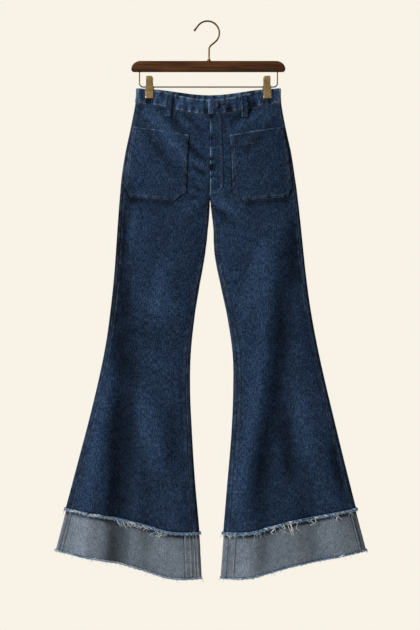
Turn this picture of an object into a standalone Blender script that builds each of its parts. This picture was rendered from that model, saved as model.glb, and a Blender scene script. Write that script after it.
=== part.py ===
"""Wide-leg jeans with a contrast hem band, clipped to a wooden trouser hanger.

Metres, +Z up. The front of the jeans faces -Y and "left" is the viewer's left, at -X.
The origin is the underside of the hook's crown, where a rail or a peg carries the hanger.
"""

import math

import bmesh
import bpy
import numpy as np

MM = 0.001

# Cloth
PANEL_WALL = 1.5 * MM
WAISTBAND_WALL = 2.4 * MM
SEAM_GAP = 0.3 * MM
CENTRE_SEAM_X = 6.1 * MM
CROTCH_LEVEL = 5.0
RAW_EDGE_LEVEL = 14.0
HEM_LEVEL = 15.0
EDGE_RADIUS = 5.0 * MM
CROTCH_ROUND_HEIGHT, CROTCH_ROUND_WIDTH = 130 * MM, 75 * MM
TORSO_HEIGHT = 190 * MM
BULGE_POWER = 2.4

# Waist, as the two clips pinch it
JAW_FROM_SIDE = (17 * MM, 43 * MM)
WAIST_COLUMNS_FROM_SIDE = (5.5, 9, 17, 43, 52, 65, 80, 97, 116, 136, 154)
PINCHED_DEPTH = 2.7 * MM
SIDE_LOOP_RADIUS = 4.2 * MM
PINCH_FADE_LEVELS = (0.75, 2.6)

# One row for each level of the garment, from the waist's top edge down to the hem. Millimetres.
# A level runs from its outer point, on the side, to its inner point, on the centre seam or the inseam.
SECTION_COLUMNS = (
    "outer_z", "inner_z", "back_inner_z",
    "left_outer_x", "left_inner_x", "right_inner_x", "right_outer_x",
    "front_depth", "back_depth", "side_seam_inset", "inseam_inset",
)
SECTION_ROWS = (
    (-154.5, -183.5, -167.0, -163.9, 6.1, 6.1, 169.0, 20, 18, 3, 0),
    (-187.5, -216.5, -201.0, -166.9, 6.1, 6.1, 171.1, 22, 20, 3, 0),
    (-241.0, -270.0, -259.0, -176.9, 6.1, 6.1, 180.4, 25, 24, 3, 0),
    (-301.5, -327.0, -320.0, -189.9, 6.1, 6.1, 193.8, 24, 24, 4, 0),
    (-357.0, -378.5, -376.0, -198.7, 6.1, 6.1, 202.4, 22, 24, 6, 0),
    (-394.5, -413.0, -413.0, -202.4, 5.9, 6.3, 207.8, 20, 23, 7, 0),
    (-454.5, -473.0, -473.0, -207.1, 1.7, 13.4, 214.7, 19, 22, 8, 1),
    (-519.5, -539.5, -539.5, -211.5, -6.1, 17.1, 221.4, 19, 20, 9, 2),
    (-591.5, -612.5, -612.5, -216.8, -18.9, 31.4, 229.1, 19, 19, 9, 4),
    (-666.0, -689.0, -689.0, -224.7, -30.3, 46.8, 239.3, 19, 18, 10, 7),
    (-744.5, -771.5, -771.5, -235.4, -38.6, 58.4, 253.5, 18, 17, 10, 9),
    (-827.0, -858.5, -858.5, -251.8, -40.0, 59.5, 271.3, 18, 17, 10, 10),
    (-918.5, -956.0, -956.0, -273.6, -35.6, 55.3, 293.1, 19, 18, 11, 11),
    (-1016.0, -1062.5, -1062.5, -299.2, -28.9, 46.5, 316.8, 21, 20, 11, 13),
    (-1132.0, -1188.0, -1188.0, -330.0, -18.0, 36.1, 346.0, 24, 22, 12, 15),
    (-1226.0, -1290.5, -1290.5, -354.6, -12.6, 28.7, 370.9, 26, 24, 13, 16),
)

# One row for each large fold: a soft ridge, or a trough where rise_mm is negative.
FOLD_COLUMNS = (
    "leg", "face", "start_level", "full_level", "fade_level",
    "start_u", "hem_u", "half_width_mm", "rise_mm",
)
FOLD_ROWS = (
    ("left", "front", 7.5, 11.5, 15, 0.99, 0.80, 24, 8),
    ("left", "front", 7.5, 11.5, 15, 0.82, 0.57, 26, -8),
    ("left", "front", 12.0, 14.0, 15, 0.40, 0.40, 18, -2.5),
    ("left", "front", 8.5, 13.0, 15, 0.20, 0.14, 34, 4),
    ("right", "front", 5.2, 8.0, 12.5, 0.85, -0.05, 27, 9),
    ("right", "front", 5.2, 9.5, 12.5, 0.97, 0.12, 26, -8.5),
    ("right", "front", 12.0, 14.0, 15, 0.20, 0.17, 24, 3.5),
    ("right", "front", 12.0, 14.0, 15, 0.32, 0.31, 22, -3.5),
    ("right", "front", 12.0, 14.0, 15, 0.66, 0.645, 26, -3),
    ("right", "front", 8.5, 13.5, 15, 0.85, 0.84, 40, 4),
    ("left", "back", 6.5, 11.0, 15, 0.30, 0.22, 34, 8),
    ("left", "back", 7.0, 12.0, 15, 0.55, 0.55, 34, -9),
    ("left", "back", 8.0, 13.0, 15, 0.85, 0.84, 34, 6),
    ("right", "back", 6.5, 11.5, 15, 0.72, 0.78, 36, 8),
    ("right", "back", 7.0, 12.0, 15, 0.45, 0.40, 34, -9),
)
FOLD_FADE_LEVELS = 2.0

# The hem hangs lower beside the inseam, where the flared cloth falls straight.
HEM_DROOP = 10 * MM
HEM_DROOP_U = 0.22
HEM_DROOP_WIDTH = 0.17
HEM_DROOP_LEVELS = (11.0, 15.0)
HEM_DROOP_FADE = 40 * MM

# The waist sags in a curve between the clips. Below it the levels run straight across.
SAG_STRAIGHT_SHARE = 0.9
SAG_STRAIGHT_LEVELS = (0.5, 2.5)

# Meshing of the cloth: fractions across a panel, and levels down it
FRONT_FRACTIONS = (0, 0.012, 0.04, 0.10, 0.165, 0.272, 0.40, 0.53, 0.66, 0.77, 0.86, 0.92, 0.98, 1)
BACK_COLUMNS = 15
BODY_LEVELS = (
    1.01, 1.5, 2.054, 2.5, 2.95, 3.5, 4.1, 4.45, 4.7, 4.86, 4.94, 5.0, 5.2, 5.6,
    6.3, 7.1, 8, 9, 10, 11, 12, 13, 13.5, 13.88, 13.945,
)

# Each panel is in three lengths, one below another, each short enough to follow the hollow of the leg
PANEL_LENGTHS = (("hip", 1.01, 5.6), ("thigh", 5.6, 9), ("calf", 9, 13.945))

POCKET_TOP_LEVEL, POCKET_CUT_LEVEL, POCKET_BOTTOM_LEVEL = 2.054, 4.7, 5.2
POCKET_HEM_LEVEL = 2.5

# Patch pockets, by their column in FRONT_FRACTIONS
POCKET_INNER_COLUMN, POCKET_OUTER_COLUMN = 5, 12
POCKET_GAP, POCKET_FOOT_GAP = 0.5 * MM, 1.0 * MM
POCKET_WALL = 1.6 * MM
POCKET_HEM_EXTRA = 0.7 * MM

# Fly
FLY_COLUMN = 4
FLY_BOTTOM_LEVEL = 4.7
FLY_WALL = 1.2 * MM
FLY_GAP = 0.45 * MM

# Waistband and its button
WAISTBAND_LAP_X = 2.2 * MM
UNDERLAP_LENGTH = 28 * MM
UNDERLAP_RAMP = 14 * MM
UNDERLAP_STEP = WAISTBAND_WALL + SEAM_GAP + 0.1 * MM
WAIST_LEVELS = (0.0, 0.33, 0.66, 1.0)
WAIST_END_Q = 0.02
BUTTON_X, BUTTON_LEVEL = 17.1 * MM, 0.47
BUTTON_RADIUS, BUTTON_THICKNESS, BUTTON_STAND = 8.5 * MM, 3.2 * MM, 1.2 * MM

# Belt loops: centre along the waist, how far the top leans towards +X, and the face
LOOP_COLUMNS = ("name", "x_mm", "lean_mm", "face")
LOOP_ROWS = (
    ("belt_loop_front_left", -88.4, 6.0, "front"),
    ("belt_loop_front_right", 85.1, -3.5, "front"),
    ("belt_loop_back_left", -84.4, 2.0, "back"),
    ("belt_loop_back_centre", 6.1, 0.0, "back"),
    ("belt_loop_back_right", 93.6, -2.0, "back"),
)
LOOP_WIDTH, LOOP_HEIGHT, LOOP_WALL = 15 * MM, 44 * MM, 2.0 * MM
LOOP_STAND, LOOP_BOW = 0.5 * MM, 2.6 * MM
LOOP_TOP_LEVEL = 0.10
LEVEL_HEIGHT_AT_WAIST = 33.5 * MM

# Hem band, lapped under the raw edge of each leg
BAND_WALL = 1.5 * MM
BAND_INSET = PANEL_WALL + SEAM_GAP
BAND_LEVELS = (13.88, 13.945, 14.0, 14.25, 14.55, 14.93)

# Frayed edges: a narrow strip round the cloth's edge, with threads from its lower rim
LEG_FRAY_LEVELS = (13.9475, 14.0)
BAND_FRAY_LEVELS = (14.9335, 15.0)
STRAND_SPACING, STRAND_ROOT = 15 * MM, 1.8 * MM
STRAND_LENGTHS = (7 * MM, 13 * MM)
HEM_STRAND_LENGTHS = (4 * MM, 9 * MM)
STRAND_LEAN = 3.5 * MM
STRAND_TIP = 0.8 * MM
STRAND_LIFT = 0.9 * MM

# Hanger
BAR_LENGTH, BAR_HEIGHT, BAR_DEPTH = 357 * MM, 24 * MM, 18 * MM
BAR_TOP_Z, BAR_CENTRE_X = -91.5 * MM, 2.0 * MM
BAR_TOP_CORNER, BAR_BOTTOM_CORNER = (22 * MM, 19 * MM), (7 * MM, 5 * MM)
BAR_EDGE = 3.5 * MM
BAR_EASING = ((-1.0, 1.0), (-0.833, 0.35), (-0.62, 0.0), (0.62, 0.0), (0.833, 0.35), (1.0, 1.0))
HOOK_WIRE = 4.0 * MM
HOOK_RADIUS = 27.6 * MM
HOOK_TIP_BALL = 2.9 * MM
HOOK_TIP = (31.2 * MM, 4.5 * MM)
BEND_RADIUS, BEND_DROP = 13 * MM, 11.2 * MM
STEM_X = 3.6 * MM
FERRULE_RADIUS, FERRULE_HEIGHT = 4.8 * MM, 4.5 * MM
RAIL_WIRE = 3.0 * MM
RAIL_Z, RAIL_CORNER = -151 * MM, 9 * MM
RAIL_LEFT_X, RAIL_RIGHT_X = -157.7 * MM, 162.3 * MM
CLIP_LEFT_X, CLIP_RIGHT_X = -134.9 * MM, 138.6 * MM
CLIP_TOP_Z, CLIP_BOTTOM_Z = -126.5 * MM, -177.5 * MM
JAW_WIDTH, LEVER_WIDTH, CLIP_WALL = 18.6 * MM, 14.6 * MM, 1.1 * MM
SPRING_WIRE, SPRING_TURNS, SPRING_STEPS = 1.0 * MM, 4, 8
SPRING_RADIUS = (RAIL_WIRE + SPRING_WIRE) / 2 + 0.35 * MM
SPRING_PITCH = 1.35 * SPRING_WIRE
CLIP_LEVER_Y, CLIP_RAIL_Y = 9.5 * MM, SPRING_RADIUS + SPRING_WIRE / 2 + SEAM_GAP

COLOURS = {
    "denim": ((0.030, 0.060, 0.125), 0.9, 0.0),
    "denim_reverse": ((0.17, 0.22, 0.28), 0.92, 0.0),
    "fray": ((0.30, 0.40, 0.52), 0.95, 0.0),
    "button": ((0.02, 0.03, 0.055), 0.5, 0.0),
    "wood": ((0.055, 0.022, 0.012), 0.45, 0.0),
    "brass": ((0.32, 0.22, 0.10), 0.4, 1.0),
}


def clear_scene():
    for obj in list(bpy.data.objects):
        bpy.data.objects.remove(obj)


def material(name):
    """The finish of that name, made once."""
    made = bpy.data.materials.get(name)
    if made:
        return made
    colour, roughness, metallic = COLOURS[name]
    made = bpy.data.materials.new(name)
    made.use_nodes = True
    shader = made.node_tree.nodes["Principled BSDF"]
    shader.inputs["Base Color"].default_value = (*colour, 1)
    shader.inputs["Roughness"].default_value = roughness
    shader.inputs["Metallic"].default_value = metallic
    return made


def add_object(name, data, finish):
    obj = bpy.data.objects.new(name, data)
    bpy.data.collections["jeans_on_hanger"].objects.link(obj)
    obj.data.materials.append(material(finish))
    return obj


def smooth(value, low=0.0, high=1.0):
    """0 below low, 1 above high, and an even S-curve between."""
    t = min(max((value - low) / (high - low), 0.0), 1.0)
    return t * t * (3 - 2 * t)


def mix(a, b, t):
    return a + (b - a) * t


# The garment's outer surface

TABLE = {name: [row[i] * MM for row in SECTION_ROWS] for i, name in enumerate(SECTION_COLUMNS)}
FOLDS = [dict(zip(FOLD_COLUMNS, row)) for row in FOLD_ROWS]


def at_level(column, level):
    """A column of the section table at any level, on a smooth curve through its rows."""
    values = TABLE[column]
    i = min(max(int(math.floor(level)), 0), len(values) - 2)
    t = level - i
    before, a, b, after = (values[min(max(k, 0), len(values) - 1)] for k in (i - 1, i, i + 1, i + 2))
    if t > 1 or t < 0:
        return a + (b - a) * t
    in_slope, out_slope = (b - before) / 2, (after - a) / 2
    h10, h01 = t * (1 - t) ** 2, t * t * (3 - 2 * t)
    return a + (b - a) * h01 + in_slope * h10 - out_slope * t * t * (1 - t)


def round_cap(distance, radius):
    """Height of a quarter circle above its end, as a share of its radius."""
    if distance >= radius:
        return 1.0
    return math.sqrt(max(0.0, 1 - (1 - distance / radius) ** 2))


def pinched_depth(from_side, width, centre_depth):
    """Half depth of the waist at a distance in from the side, with the clip's jaw in place."""
    jaw_start, jaw_end = JAW_FROM_SIDE
    if from_side < jaw_start:
        loop = mix(SIDE_LOOP_RADIUS, PINCHED_DEPTH, smooth(from_side, 2 * SIDE_LOOP_RADIUS, jaw_start))
        return loop * round_cap(from_side, SIDE_LOOP_RADIUS)
    if from_side < jaw_end:
        return PINCHED_DEPTH
    share = (from_side - jaw_end) / (width - jaw_end)
    return PINCHED_DEPTH + (centre_depth - PINCHED_DEPTH) * math.sin(math.pi / 2 * share) ** 2


def legs_merged(level, from_inner):
    """0 on the legs, rising to 1 where they have become one torso: round at the crotch, slow beside it."""
    height = at_level("inner_z", level) - at_level("inner_z", CROTCH_LEVEL)
    crotch = math.sin(math.pi / 2 * min(max(height / CROTCH_ROUND_HEIGHT, 0.0), 1.0))
    return mix(crotch, smooth(height, 0.0, TORSO_HEIGHT), smooth(from_inner, 0.0, CROTCH_ROUND_WIDTH))


def fold_rise(leg, face, level, u, width):
    """How far the large folds lift the cloth at one point."""
    rise = 0.0
    for fold in FOLDS:
        if fold["leg"] != leg or fold["face"] != face or level <= fold["start_level"]:
            continue
        down = (level - fold["start_level"]) / (HEM_LEVEL - fold["start_level"])
        centre = mix(fold["start_u"], fold["hem_u"], down)
        off = (u - centre) * width / (fold["half_width_mm"] * MM)
        strength = smooth(level, fold["start_level"], fold["full_level"])
        strength *= 1 - smooth(level, fold["fade_level"], fold["fade_level"] + FOLD_FADE_LEVELS)
        rise += fold["rise_mm"] * MM * strength * math.exp(-off * off)
    return rise * round_cap(u * width, 3 * EDGE_RADIUS) * round_cap((1 - u) * width, 3 * EDGE_RADIUS)


def cloth_point(leg, q, level):
    """A point of the outer surface.

    q runs round a level: 0 at the inner point, 1 on the side, 2 at the inner point again by the back.
    """
    ring = q % 2.0 if level >= CROTCH_LEVEL else min(max(q, 0.0), 2.0)
    face, sign = ("front", -1) if ring <= 1 else ("back", 1)
    u = math.sin(math.pi * ring / 2) ** 2
    inner_x, outer_x = at_level(leg + "_inner_x", level), at_level(leg + "_outer_x", level)
    if level < CROTCH_LEVEL:
        inner_x = CENTRE_SEAM_X + (-1 if leg == "left" else 1) * SEAM_GAP / 2
    width = abs(outer_x - inner_x)
    outer_z = at_level("outer_z", level)
    inner_z = at_level("inner_z" if face == "front" else "back_inner_z", level)
    merged = legs_merged(level, u * width)
    height = at_level(face + "_depth", level)

    spread = (u + merged) / (1 + merged)
    cap = round_cap((u + merged) * width, EDGE_RADIUS) * round_cap((1 - u) * width, EDGE_RADIUS)
    bulge = 1 - abs(2 * spread - 1) ** BULGE_POWER
    depth = EDGE_RADIUS * cap + (height - EDGE_RADIUS) * bulge
    depth += fold_rise(leg, face, level, u, width)
    pinch = 1 - smooth(level, *PINCH_FADE_LEVELS)
    if pinch > 0:
        depth = mix(depth, pinched_depth((1 - u) * width, width, height), pinch)

    straight = SAG_STRAIGHT_SHARE * smooth(level, *SAG_STRAIGHT_LEVELS)
    sag = mix(math.cos(math.pi / 2 * u) ** 2, 1 - u, straight)
    droop = HEM_DROOP * smooth(level, *HEM_DROOP_LEVELS)
    droop *= math.exp(-(((u - HEM_DROOP_U) / HEM_DROOP_WIDTH) ** 2))
    z = outer_z + (inner_z - outer_z) * sag - droop * round_cap(u * width, HEM_DROOP_FADE)
    return np.array((mix(inner_x, outer_x, u), sign * depth, z))


def cloth_normal(leg, q, level):
    """The outward normal of the surface at a point."""
    step_q, step_level = 0.008, 0.02
    if level < CROTCH_LEVEL:
        q = min(max(q, 2.5 * step_q), 2 - 2.5 * step_q)
    across = cloth_point(leg, q + step_q, level) - cloth_point(leg, q - step_q, level)
    high = max(level - step_level, 0.0)
    if level >= CROTCH_LEVEL > high:
        high = level
    down = cloth_point(leg, q, level + step_level) - cloth_point(leg, q, high)
    normal = np.cross(down, across) if leg == "right" else np.cross(across, down)
    return normal / np.linalg.norm(normal)


def ring_place(leg, inset, level, at_side):
    """q of the seam that lies inset from the silhouette, on the front."""
    width = abs(at_level(leg + "_outer_x", level) - at_level(leg + "_inner_x", level))
    u = inset / width
    if at_side:
        u = 1 - u
    return 2 / math.pi * math.asin(math.sqrt(u))


def nudged(leg, q, level, distance):
    """q moved along the ring by a small distance."""
    step = 0.002
    length = np.linalg.norm(cloth_point(leg, q + step, level) - cloth_point(leg, q - step, level))
    return q + distance * 2 * step / max(length, 1e-6)


def side_seam_q(leg, level):
    return ring_place(leg, at_level("side_seam_inset", level), level, True)


def inseam_q(leg, level):
    if level < CROTCH_LEVEL:
        return 0.0
    return ring_place(leg, at_level("inseam_inset", level), level, False)


def front_qs(leg, level, fractions=FRONT_FRACTIONS):
    """Where a front panel's columns lie: even shares of the width between its two seams."""
    first = inseam_q(leg, level)
    if level >= CROTCH_LEVEL:
        first = nudged(leg, first, level, SEAM_GAP / 2)
    last = nudged(leg, side_seam_q(leg, level), level, -SEAM_GAP / 2)
    u_first, u_last = (math.sin(math.pi * q / 2) ** 2 for q in (first, last))
    return [2 / math.pi * math.asin(math.sqrt(mix(u_first, u_last, f))) for f in fractions]


def shared_out(leg, level, first, last, count, bend_share=0.45):
    """count places from first to last along the ring, closer together where the cloth turns."""
    fine = np.linspace(first, last, 161)
    points = np.array([cloth_point(leg, q, level) for q in fine])
    runs = np.diff(points, axis=0)
    lengths = np.linalg.norm(runs, axis=1)
    directions = runs / np.maximum(lengths, 1e-9)[:, None]
    turns = np.arccos(np.clip((directions[1:] * directions[:-1]).sum(1), -1, 1))
    turning = np.zeros(len(lengths))
    turning[1:] += turns / 2
    turning[:-1] += turns / 2
    weight = (1 - bend_share) * lengths / lengths.sum() + bend_share * turning / turning.sum()
    along = np.concatenate([[0], np.cumsum(weight)])
    return list(np.interp(np.linspace(0, along[-1], count), along, fine))


def back_qs(leg, level, count=BACK_COLUMNS):
    """Where a back panel's columns lie: from the side seam, round the back, to the inseam."""
    first = nudged(leg, side_seam_q(leg, level), level, SEAM_GAP / 2)
    last = 2.0
    if level >= CROTCH_LEVEL:
        last = nudged(leg, inseam_q(leg, level) + 2, level, -SEAM_GAP / 2)
    return shared_out(leg, level, first, last, count)


def skin(leg, levels, places, inset):
    """Rows of points on the surface, moved in by inset, or out where it is negative."""
    return [
        [cloth_point(leg, q, level) - inset * cloth_normal(leg, q, level) for q in places(leg, level)]
        for level in levels
    ]


# Solids from rows of points

def halves(quad):
    """Two triangles, split from the first corner to the third, so that stacked layers bend alike."""
    return [[quad[0], quad[1], quad[2]], [quad[0], quad[2], quad[3]]]


def wall_mesh(name, outer, inner, ring=False):
    """A closed wall between two skins that have the same rows and columns."""
    rows, columns = len(outer), len(outer[0])
    points = np.array(outer + inner, float).reshape(-1, 3)

    def at(side, row, column):
        return side * rows * columns + row * columns + column % columns

    faces = []
    for row in range(rows - 1):
        for column in range(columns if ring else columns - 1):
            for side in (0, 1):
                quad = [at(side, row, column), at(side, row, column + 1),
                        at(side, row + 1, column + 1), at(side, row + 1, column)]
                faces += halves(quad) if side == 0 else [half[::-1] for half in halves(quad)]
    for row, turn in ((0, 1), (rows - 1, -1)):
        for column in range(columns if ring else columns - 1):
            quad = [at(0, row, column), at(1, row, column), at(1, row, column + 1), at(0, row, column + 1)]
            faces.append(quad[::turn])
    if not ring:
        for column, turn in ((0, -1), (columns - 1, 1)):
            for row in range(rows - 1):
                quad = [at(0, row, column), at(1, row, column),
                        at(1, row + 1, column), at(0, row + 1, column)]
                faces.append(quad[::turn])
    return mesh_from(name, points, faces)


def mesh_from(name, points, faces):
    """A mesh with its faces turned outwards."""
    mesh = bpy.data.meshes.new(name)
    mesh.from_pydata([tuple(p) for p in points], [], faces)
    body = bmesh.new()
    body.from_mesh(mesh)
    bmesh.ops.recalc_face_normals(body, faces=body.faces)
    if body.calc_volume(signed=True) < 0:
        bmesh.ops.reverse_faces(body, faces=body.faces)
    body.to_mesh(mesh)
    body.free()
    return mesh


# Trouser panels

def length_levels(first, last):
    """The levels of one length of a panel, parted from its neighbours by the width of a seam's gap."""
    levels = [level for level in BODY_LEVELS if first <= level <= last]
    for end, side in ((0, 1), (-1, -1)):
        level = levels[end]
        if level not in (BODY_LEVELS[0], BODY_LEVELS[-1]):
            drop = at_level("inner_z", level - 0.5) - at_level("inner_z", level + 0.5)
            levels[end] = level + side * SEAM_GAP / 2 / drop
    return levels


def build_panels():
    """A front and a back for each leg, in lengths from the waist seam to the raw edge."""
    for leg in ("left", "right"):
        for face, places in (("front", front_qs), ("back", back_qs)):
            for part, first, last in PANEL_LENGTHS:
                levels = length_levels(first, last)
                name = f"{face}_panel_{leg}_{part}"
                outer = skin(leg, levels, places, 0.0)
                inner = skin(leg, levels, places, PANEL_WALL)
                add_object(name, wall_mesh(name, outer, inner), "denim")


def front_grids():
    """Points and normals of each front at its columns and levels, which the patches are made from."""
    grids = {}
    for leg in ("left", "right"):
        grids[leg] = {
            "levels": BODY_LEVELS,
            "points": np.array(skin(leg, BODY_LEVELS, front_qs, 0.0)),
            "normals": np.array([
                [cloth_normal(leg, q, level) for q in front_qs(leg, level)] for level in BODY_LEVELS
            ]),
        }
    return grids


def patch_from(grid, cells, lift, wall):
    """A solid over some cells of a panel's grid.

    lift(row) is its distance out from the panel, and wall(row) is its thickness.
    """
    corners = sorted({corner for cell in cells for corner in cell})
    index = {corner: i for i, corner in enumerate(corners)}
    count = len(corners)
    low = [grid["points"][r][c] + grid["normals"][r][c] * lift(r) for r, c in corners]
    high = [grid["points"][r][c] + grid["normals"][r][c] * (lift(r) + wall(r)) for r, c in corners]
    faces, edges = [], {}
    for cell in cells:
        ring = [index[corner] for corner in cell]
        for part in halves(ring) if len(ring) == 4 else [ring]:
            faces += [[i + count for i in part], part[::-1]]
        for a, b in zip(ring, ring[1:] + ring[:1]):
            edges[(a, b)] = edges.get((a, b), 0) + 1
    for a, b in edges:
        if (b, a) not in edges:
            faces.append([a, b, b + count, a + count])
    return low + high, faces


def build_pockets(grids):
    """Two patch pockets with cut lower corners, each on its front panel."""
    for leg in ("left", "right"):
        grid = grids[leg]
        levels = grid["levels"]
        top, hem, cut, bottom = (
            levels.index(level)
            for level in (POCKET_TOP_LEVEL, POCKET_HEM_LEVEL, POCKET_CUT_LEVEL, POCKET_BOTTOM_LEVEL)
        )
        first, last = POCKET_INNER_COLUMN, POCKET_OUTER_COLUMN
        cells = []
        for row in range(top, bottom):
            for column in range(first, last):
                cell = [(row, column), (row, column + 1), (row + 1, column + 1), (row + 1, column)]
                if row >= cut and column == first:
                    continue
                if row >= cut and column == last - 1:
                    continue
                cells.append(cell)

        for column, side in ((first, 0), (last - 1, 1)):
            tip = (cut, column + side)
            foot_column = column + 1 - side
            chain = [(row, foot_column) for row in range(cut, bottom + 1)]
            for a, b in zip(chain, chain[1:]):
                cells.append([tip, a, b] if side == 0 else [tip, b, a])

        def lift(row, cut=cut):
            return POCKET_FOOT_GAP if row >= cut else POCKET_GAP

        def wall(row, hem=hem):
            return POCKET_WALL + (POCKET_HEM_EXTRA if row <= hem else 0)

        points, faces = patch_from(grid, cells, lift, wall)
        add_object(f"patch_pocket_{leg}", mesh_from(f"patch_pocket_{leg}", points, faces), "denim")


def build_fly(grids):
    """The fly's lap: a strip beside the centre seam, with its lower corner rounded off."""
    grid = grids["right"]
    bottom = grid["levels"].index(FLY_BOTTOM_LEVEL)
    cells = []
    for row in range(bottom):
        for column in range(FLY_COLUMN):
            if row == bottom - 1 and column == FLY_COLUMN - 1:
                cells.append([(row, column), (row + 1, column), (row, column + 1)])
            else:
                cells.append([(row, column), (row + 1, column), (row + 1, column + 1), (row, column + 1)])
    points, faces = patch_from(grid, cells, lambda row: FLY_GAP, lambda row: FLY_WALL)
    add_object("fly_placket", mesh_from("fly_placket", points, faces), "denim")


# Waistband

def waist_q(leg, x, level=0.5, face="front"):
    """q on the waist at a given x."""
    inner_x = CENTRE_SEAM_X
    outer_x = at_level(leg + "_outer_x", level)
    u = min(max((x - inner_x) / (outer_x - inner_x), 0.0), 1.0)
    q = 2 / math.pi * math.asin(math.sqrt(u))
    return q if face == "front" else 2 - q


def waist_places(leg, level, face):
    """q of the waistband's columns, from the side seam to just short of the centre."""
    width = abs(at_level(leg + "_outer_x", level) - CENTRE_SEAM_X)
    shares = [1 - distance * MM / width for distance in WAIST_COLUMNS_FROM_SIDE]
    ring = [2 / math.pi * math.asin(math.sqrt(share)) for share in shares]
    gap = SEAM_GAP / 2 if face == "back" else -SEAM_GAP / 2
    seam = nudged(leg, side_seam_q(leg, level), level, gap)
    if face == "front":
        return [seam] + ring + [WAIST_END_Q]
    side = [mix(seam, 2 - seam, k / 4) for k in range(5)]
    return side + [2 - q for q in ring] + [2 - WAIST_END_Q]


def waist_skin(leg, level, face, inset):
    """The waistband's points on one leg's half of a face. It stands a little proud of the panels."""
    lift = WAISTBAND_WALL - PANEL_WALL - inset
    places = waist_places(leg, level, face)
    return [cloth_point(leg, q, level) + lift * cloth_normal(leg, q, level) for q in places]


def waist_front_point(x, level, inset, step):
    """A point of the front waistband near the centre, set back by step."""
    leg = "left" if x < CENTRE_SEAM_X else "right"
    y = cloth_point(leg, max(waist_q(leg, x, level), WAIST_END_Q), level)
    return np.array((x, y[1] - (WAISTBAND_WALL - PANEL_WALL) + inset + step, y[2]))


def right_waist_row(level, inset):
    """The right length starts past the centre seam, on the left, and lies on top."""
    end = waist_front_point(WAISTBAND_LAP_X, level, inset, 0.0)
    return waist_skin("right", level, "front", inset) + [end]


def left_waist_row(level, inset):
    """The left length steps back by the thickness of the right one and runs on under it."""
    ramp_end = WAISTBAND_LAP_X - 2 * MM
    ramp_start = ramp_end - UNDERLAP_RAMP
    kept = [p for p in waist_skin("left", level, "front", inset) if p[0] < ramp_start - UNDERLAP_RAMP / 2]
    for share in (0.0, 0.5, 1.0):
        step = UNDERLAP_STEP * smooth(share)
        kept.append(waist_front_point(mix(ramp_start, ramp_end, share), level, inset, step))
    for share in (0.5, 1.0):
        kept.append(waist_front_point(ramp_end + share * UNDERLAP_LENGTH, level, inset, UNDERLAP_STEP))
    return kept


def back_waist_row(level, inset):
    return waist_skin("left", level, "back", inset) + waist_skin("right", level, "back", inset)[::-1]


def build_waistband():
    """Two front lengths, which lap at the centre, and one back length."""
    lengths = (
        ("waistband_front_right", right_waist_row),
        ("waistband_front_left", left_waist_row),
        ("waistband_back", back_waist_row),
    )
    for name, row in lengths:
        outer = [row(level, 0.0) for level in WAIST_LEVELS]
        inner = [row(level, WAISTBAND_WALL) for level in WAIST_LEVELS]
        add_object(name, wall_mesh(name, outer, inner), "denim")


def build_button():
    """A plain round button on the lap, standing on its shank."""
    q = waist_q("right", BUTTON_X, BUTTON_LEVEL)
    base = cloth_point("right", q, BUTTON_LEVEL)
    rim = 0.7 * MM
    front_y = base[1] - (WAISTBAND_WALL - PANEL_WALL) - SEAM_GAP
    profile = (
        (0.0, 0.0), (0.35, 0.0), (0.35, BUTTON_STAND / BUTTON_THICKNESS),
        (0.92, BUTTON_STAND / BUTTON_THICKNESS), (1.0, 0.55), (0.97, 0.9), (0.88, 1.0),
        (0.78, 1.0 - rim / BUTTON_THICKNESS), (0.0, 1.0 - rim / BUTTON_THICKNESS),
    )
    turned("button", [(r * BUTTON_RADIUS, h * BUTTON_THICKNESS) for r, h in profile], 20,
           (BUTTON_X, front_y, base[2]), "button")


def turned(name, profile, sides, place, finish):
    """A profile of (radius, height) pairs turned about -Y at a place."""
    body = bmesh.new()
    rings = []
    for radius, height in profile:
        if radius == 0:
            rings.append([body.verts.new((0, -height, 0))])
            continue
        angles = [2 * math.pi * k / sides for k in range(sides)]
        ring = [(radius * math.cos(a), -height, radius * math.sin(a)) for a in angles]
        rings.append([body.verts.new(point) for point in ring])
    for low, high in zip(rings, rings[1:]):
        for k in range(sides):
            quad = [low[k % len(low)], low[(k + 1) % len(low)],
                    high[(k + 1) % len(high)], high[k % len(high)]]
            body.faces.new(list(dict.fromkeys(quad)))
    bmesh.ops.recalc_face_normals(body, faces=body.faces)
    mesh = bpy.data.meshes.new(name)
    body.to_mesh(mesh)
    body.free()
    obj = add_object(name, mesh, finish)
    obj.location = place
    return obj


def build_belt_loops():
    """Strips that stand off the waistband between their sewn ends."""
    for row in LOOP_ROWS:
        loop = dict(zip(LOOP_COLUMNS, row))
        x = loop["x_mm"] * MM
        leg = "left" if x < CENTRE_SEAM_X else "right"
        stations = 9
        outer, inner = [], []
        for k in range(stations):
            down = k / (stations - 1)
            bow = LOOP_BOW * smooth(min(down, 1 - down), 0.08, 0.30)
            level = LOOP_TOP_LEVEL + down * LOOP_HEIGHT / LEVEL_HEIGHT_AT_WAIST
            middle = x + loop["lean_mm"] * MM * (0.5 - down)
            q = waist_q(leg, middle, level, loop["face"])
            centre, normal = cloth_point(leg, q, level), cloth_normal(leg, q, level)
            normal[2] = 0
            normal /= np.linalg.norm(normal)
            across = np.array((-normal[1], normal[0], 0))
            across *= 1 if across[0] > 0 else -1
            lift = WAISTBAND_WALL - PANEL_WALL + LOOP_STAND + bow
            sides = [centre + across * s * LOOP_WIDTH / 2 for s in (-1, 1)]
            inner.append([p + normal * lift for p in sides])
            outer.append([p + normal * (lift + LOOP_WALL) for p in sides])
        add_object(loop["name"], wall_mesh(loop["name"], outer, inner), "denim")


# Hem bands and frayed edges

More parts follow.
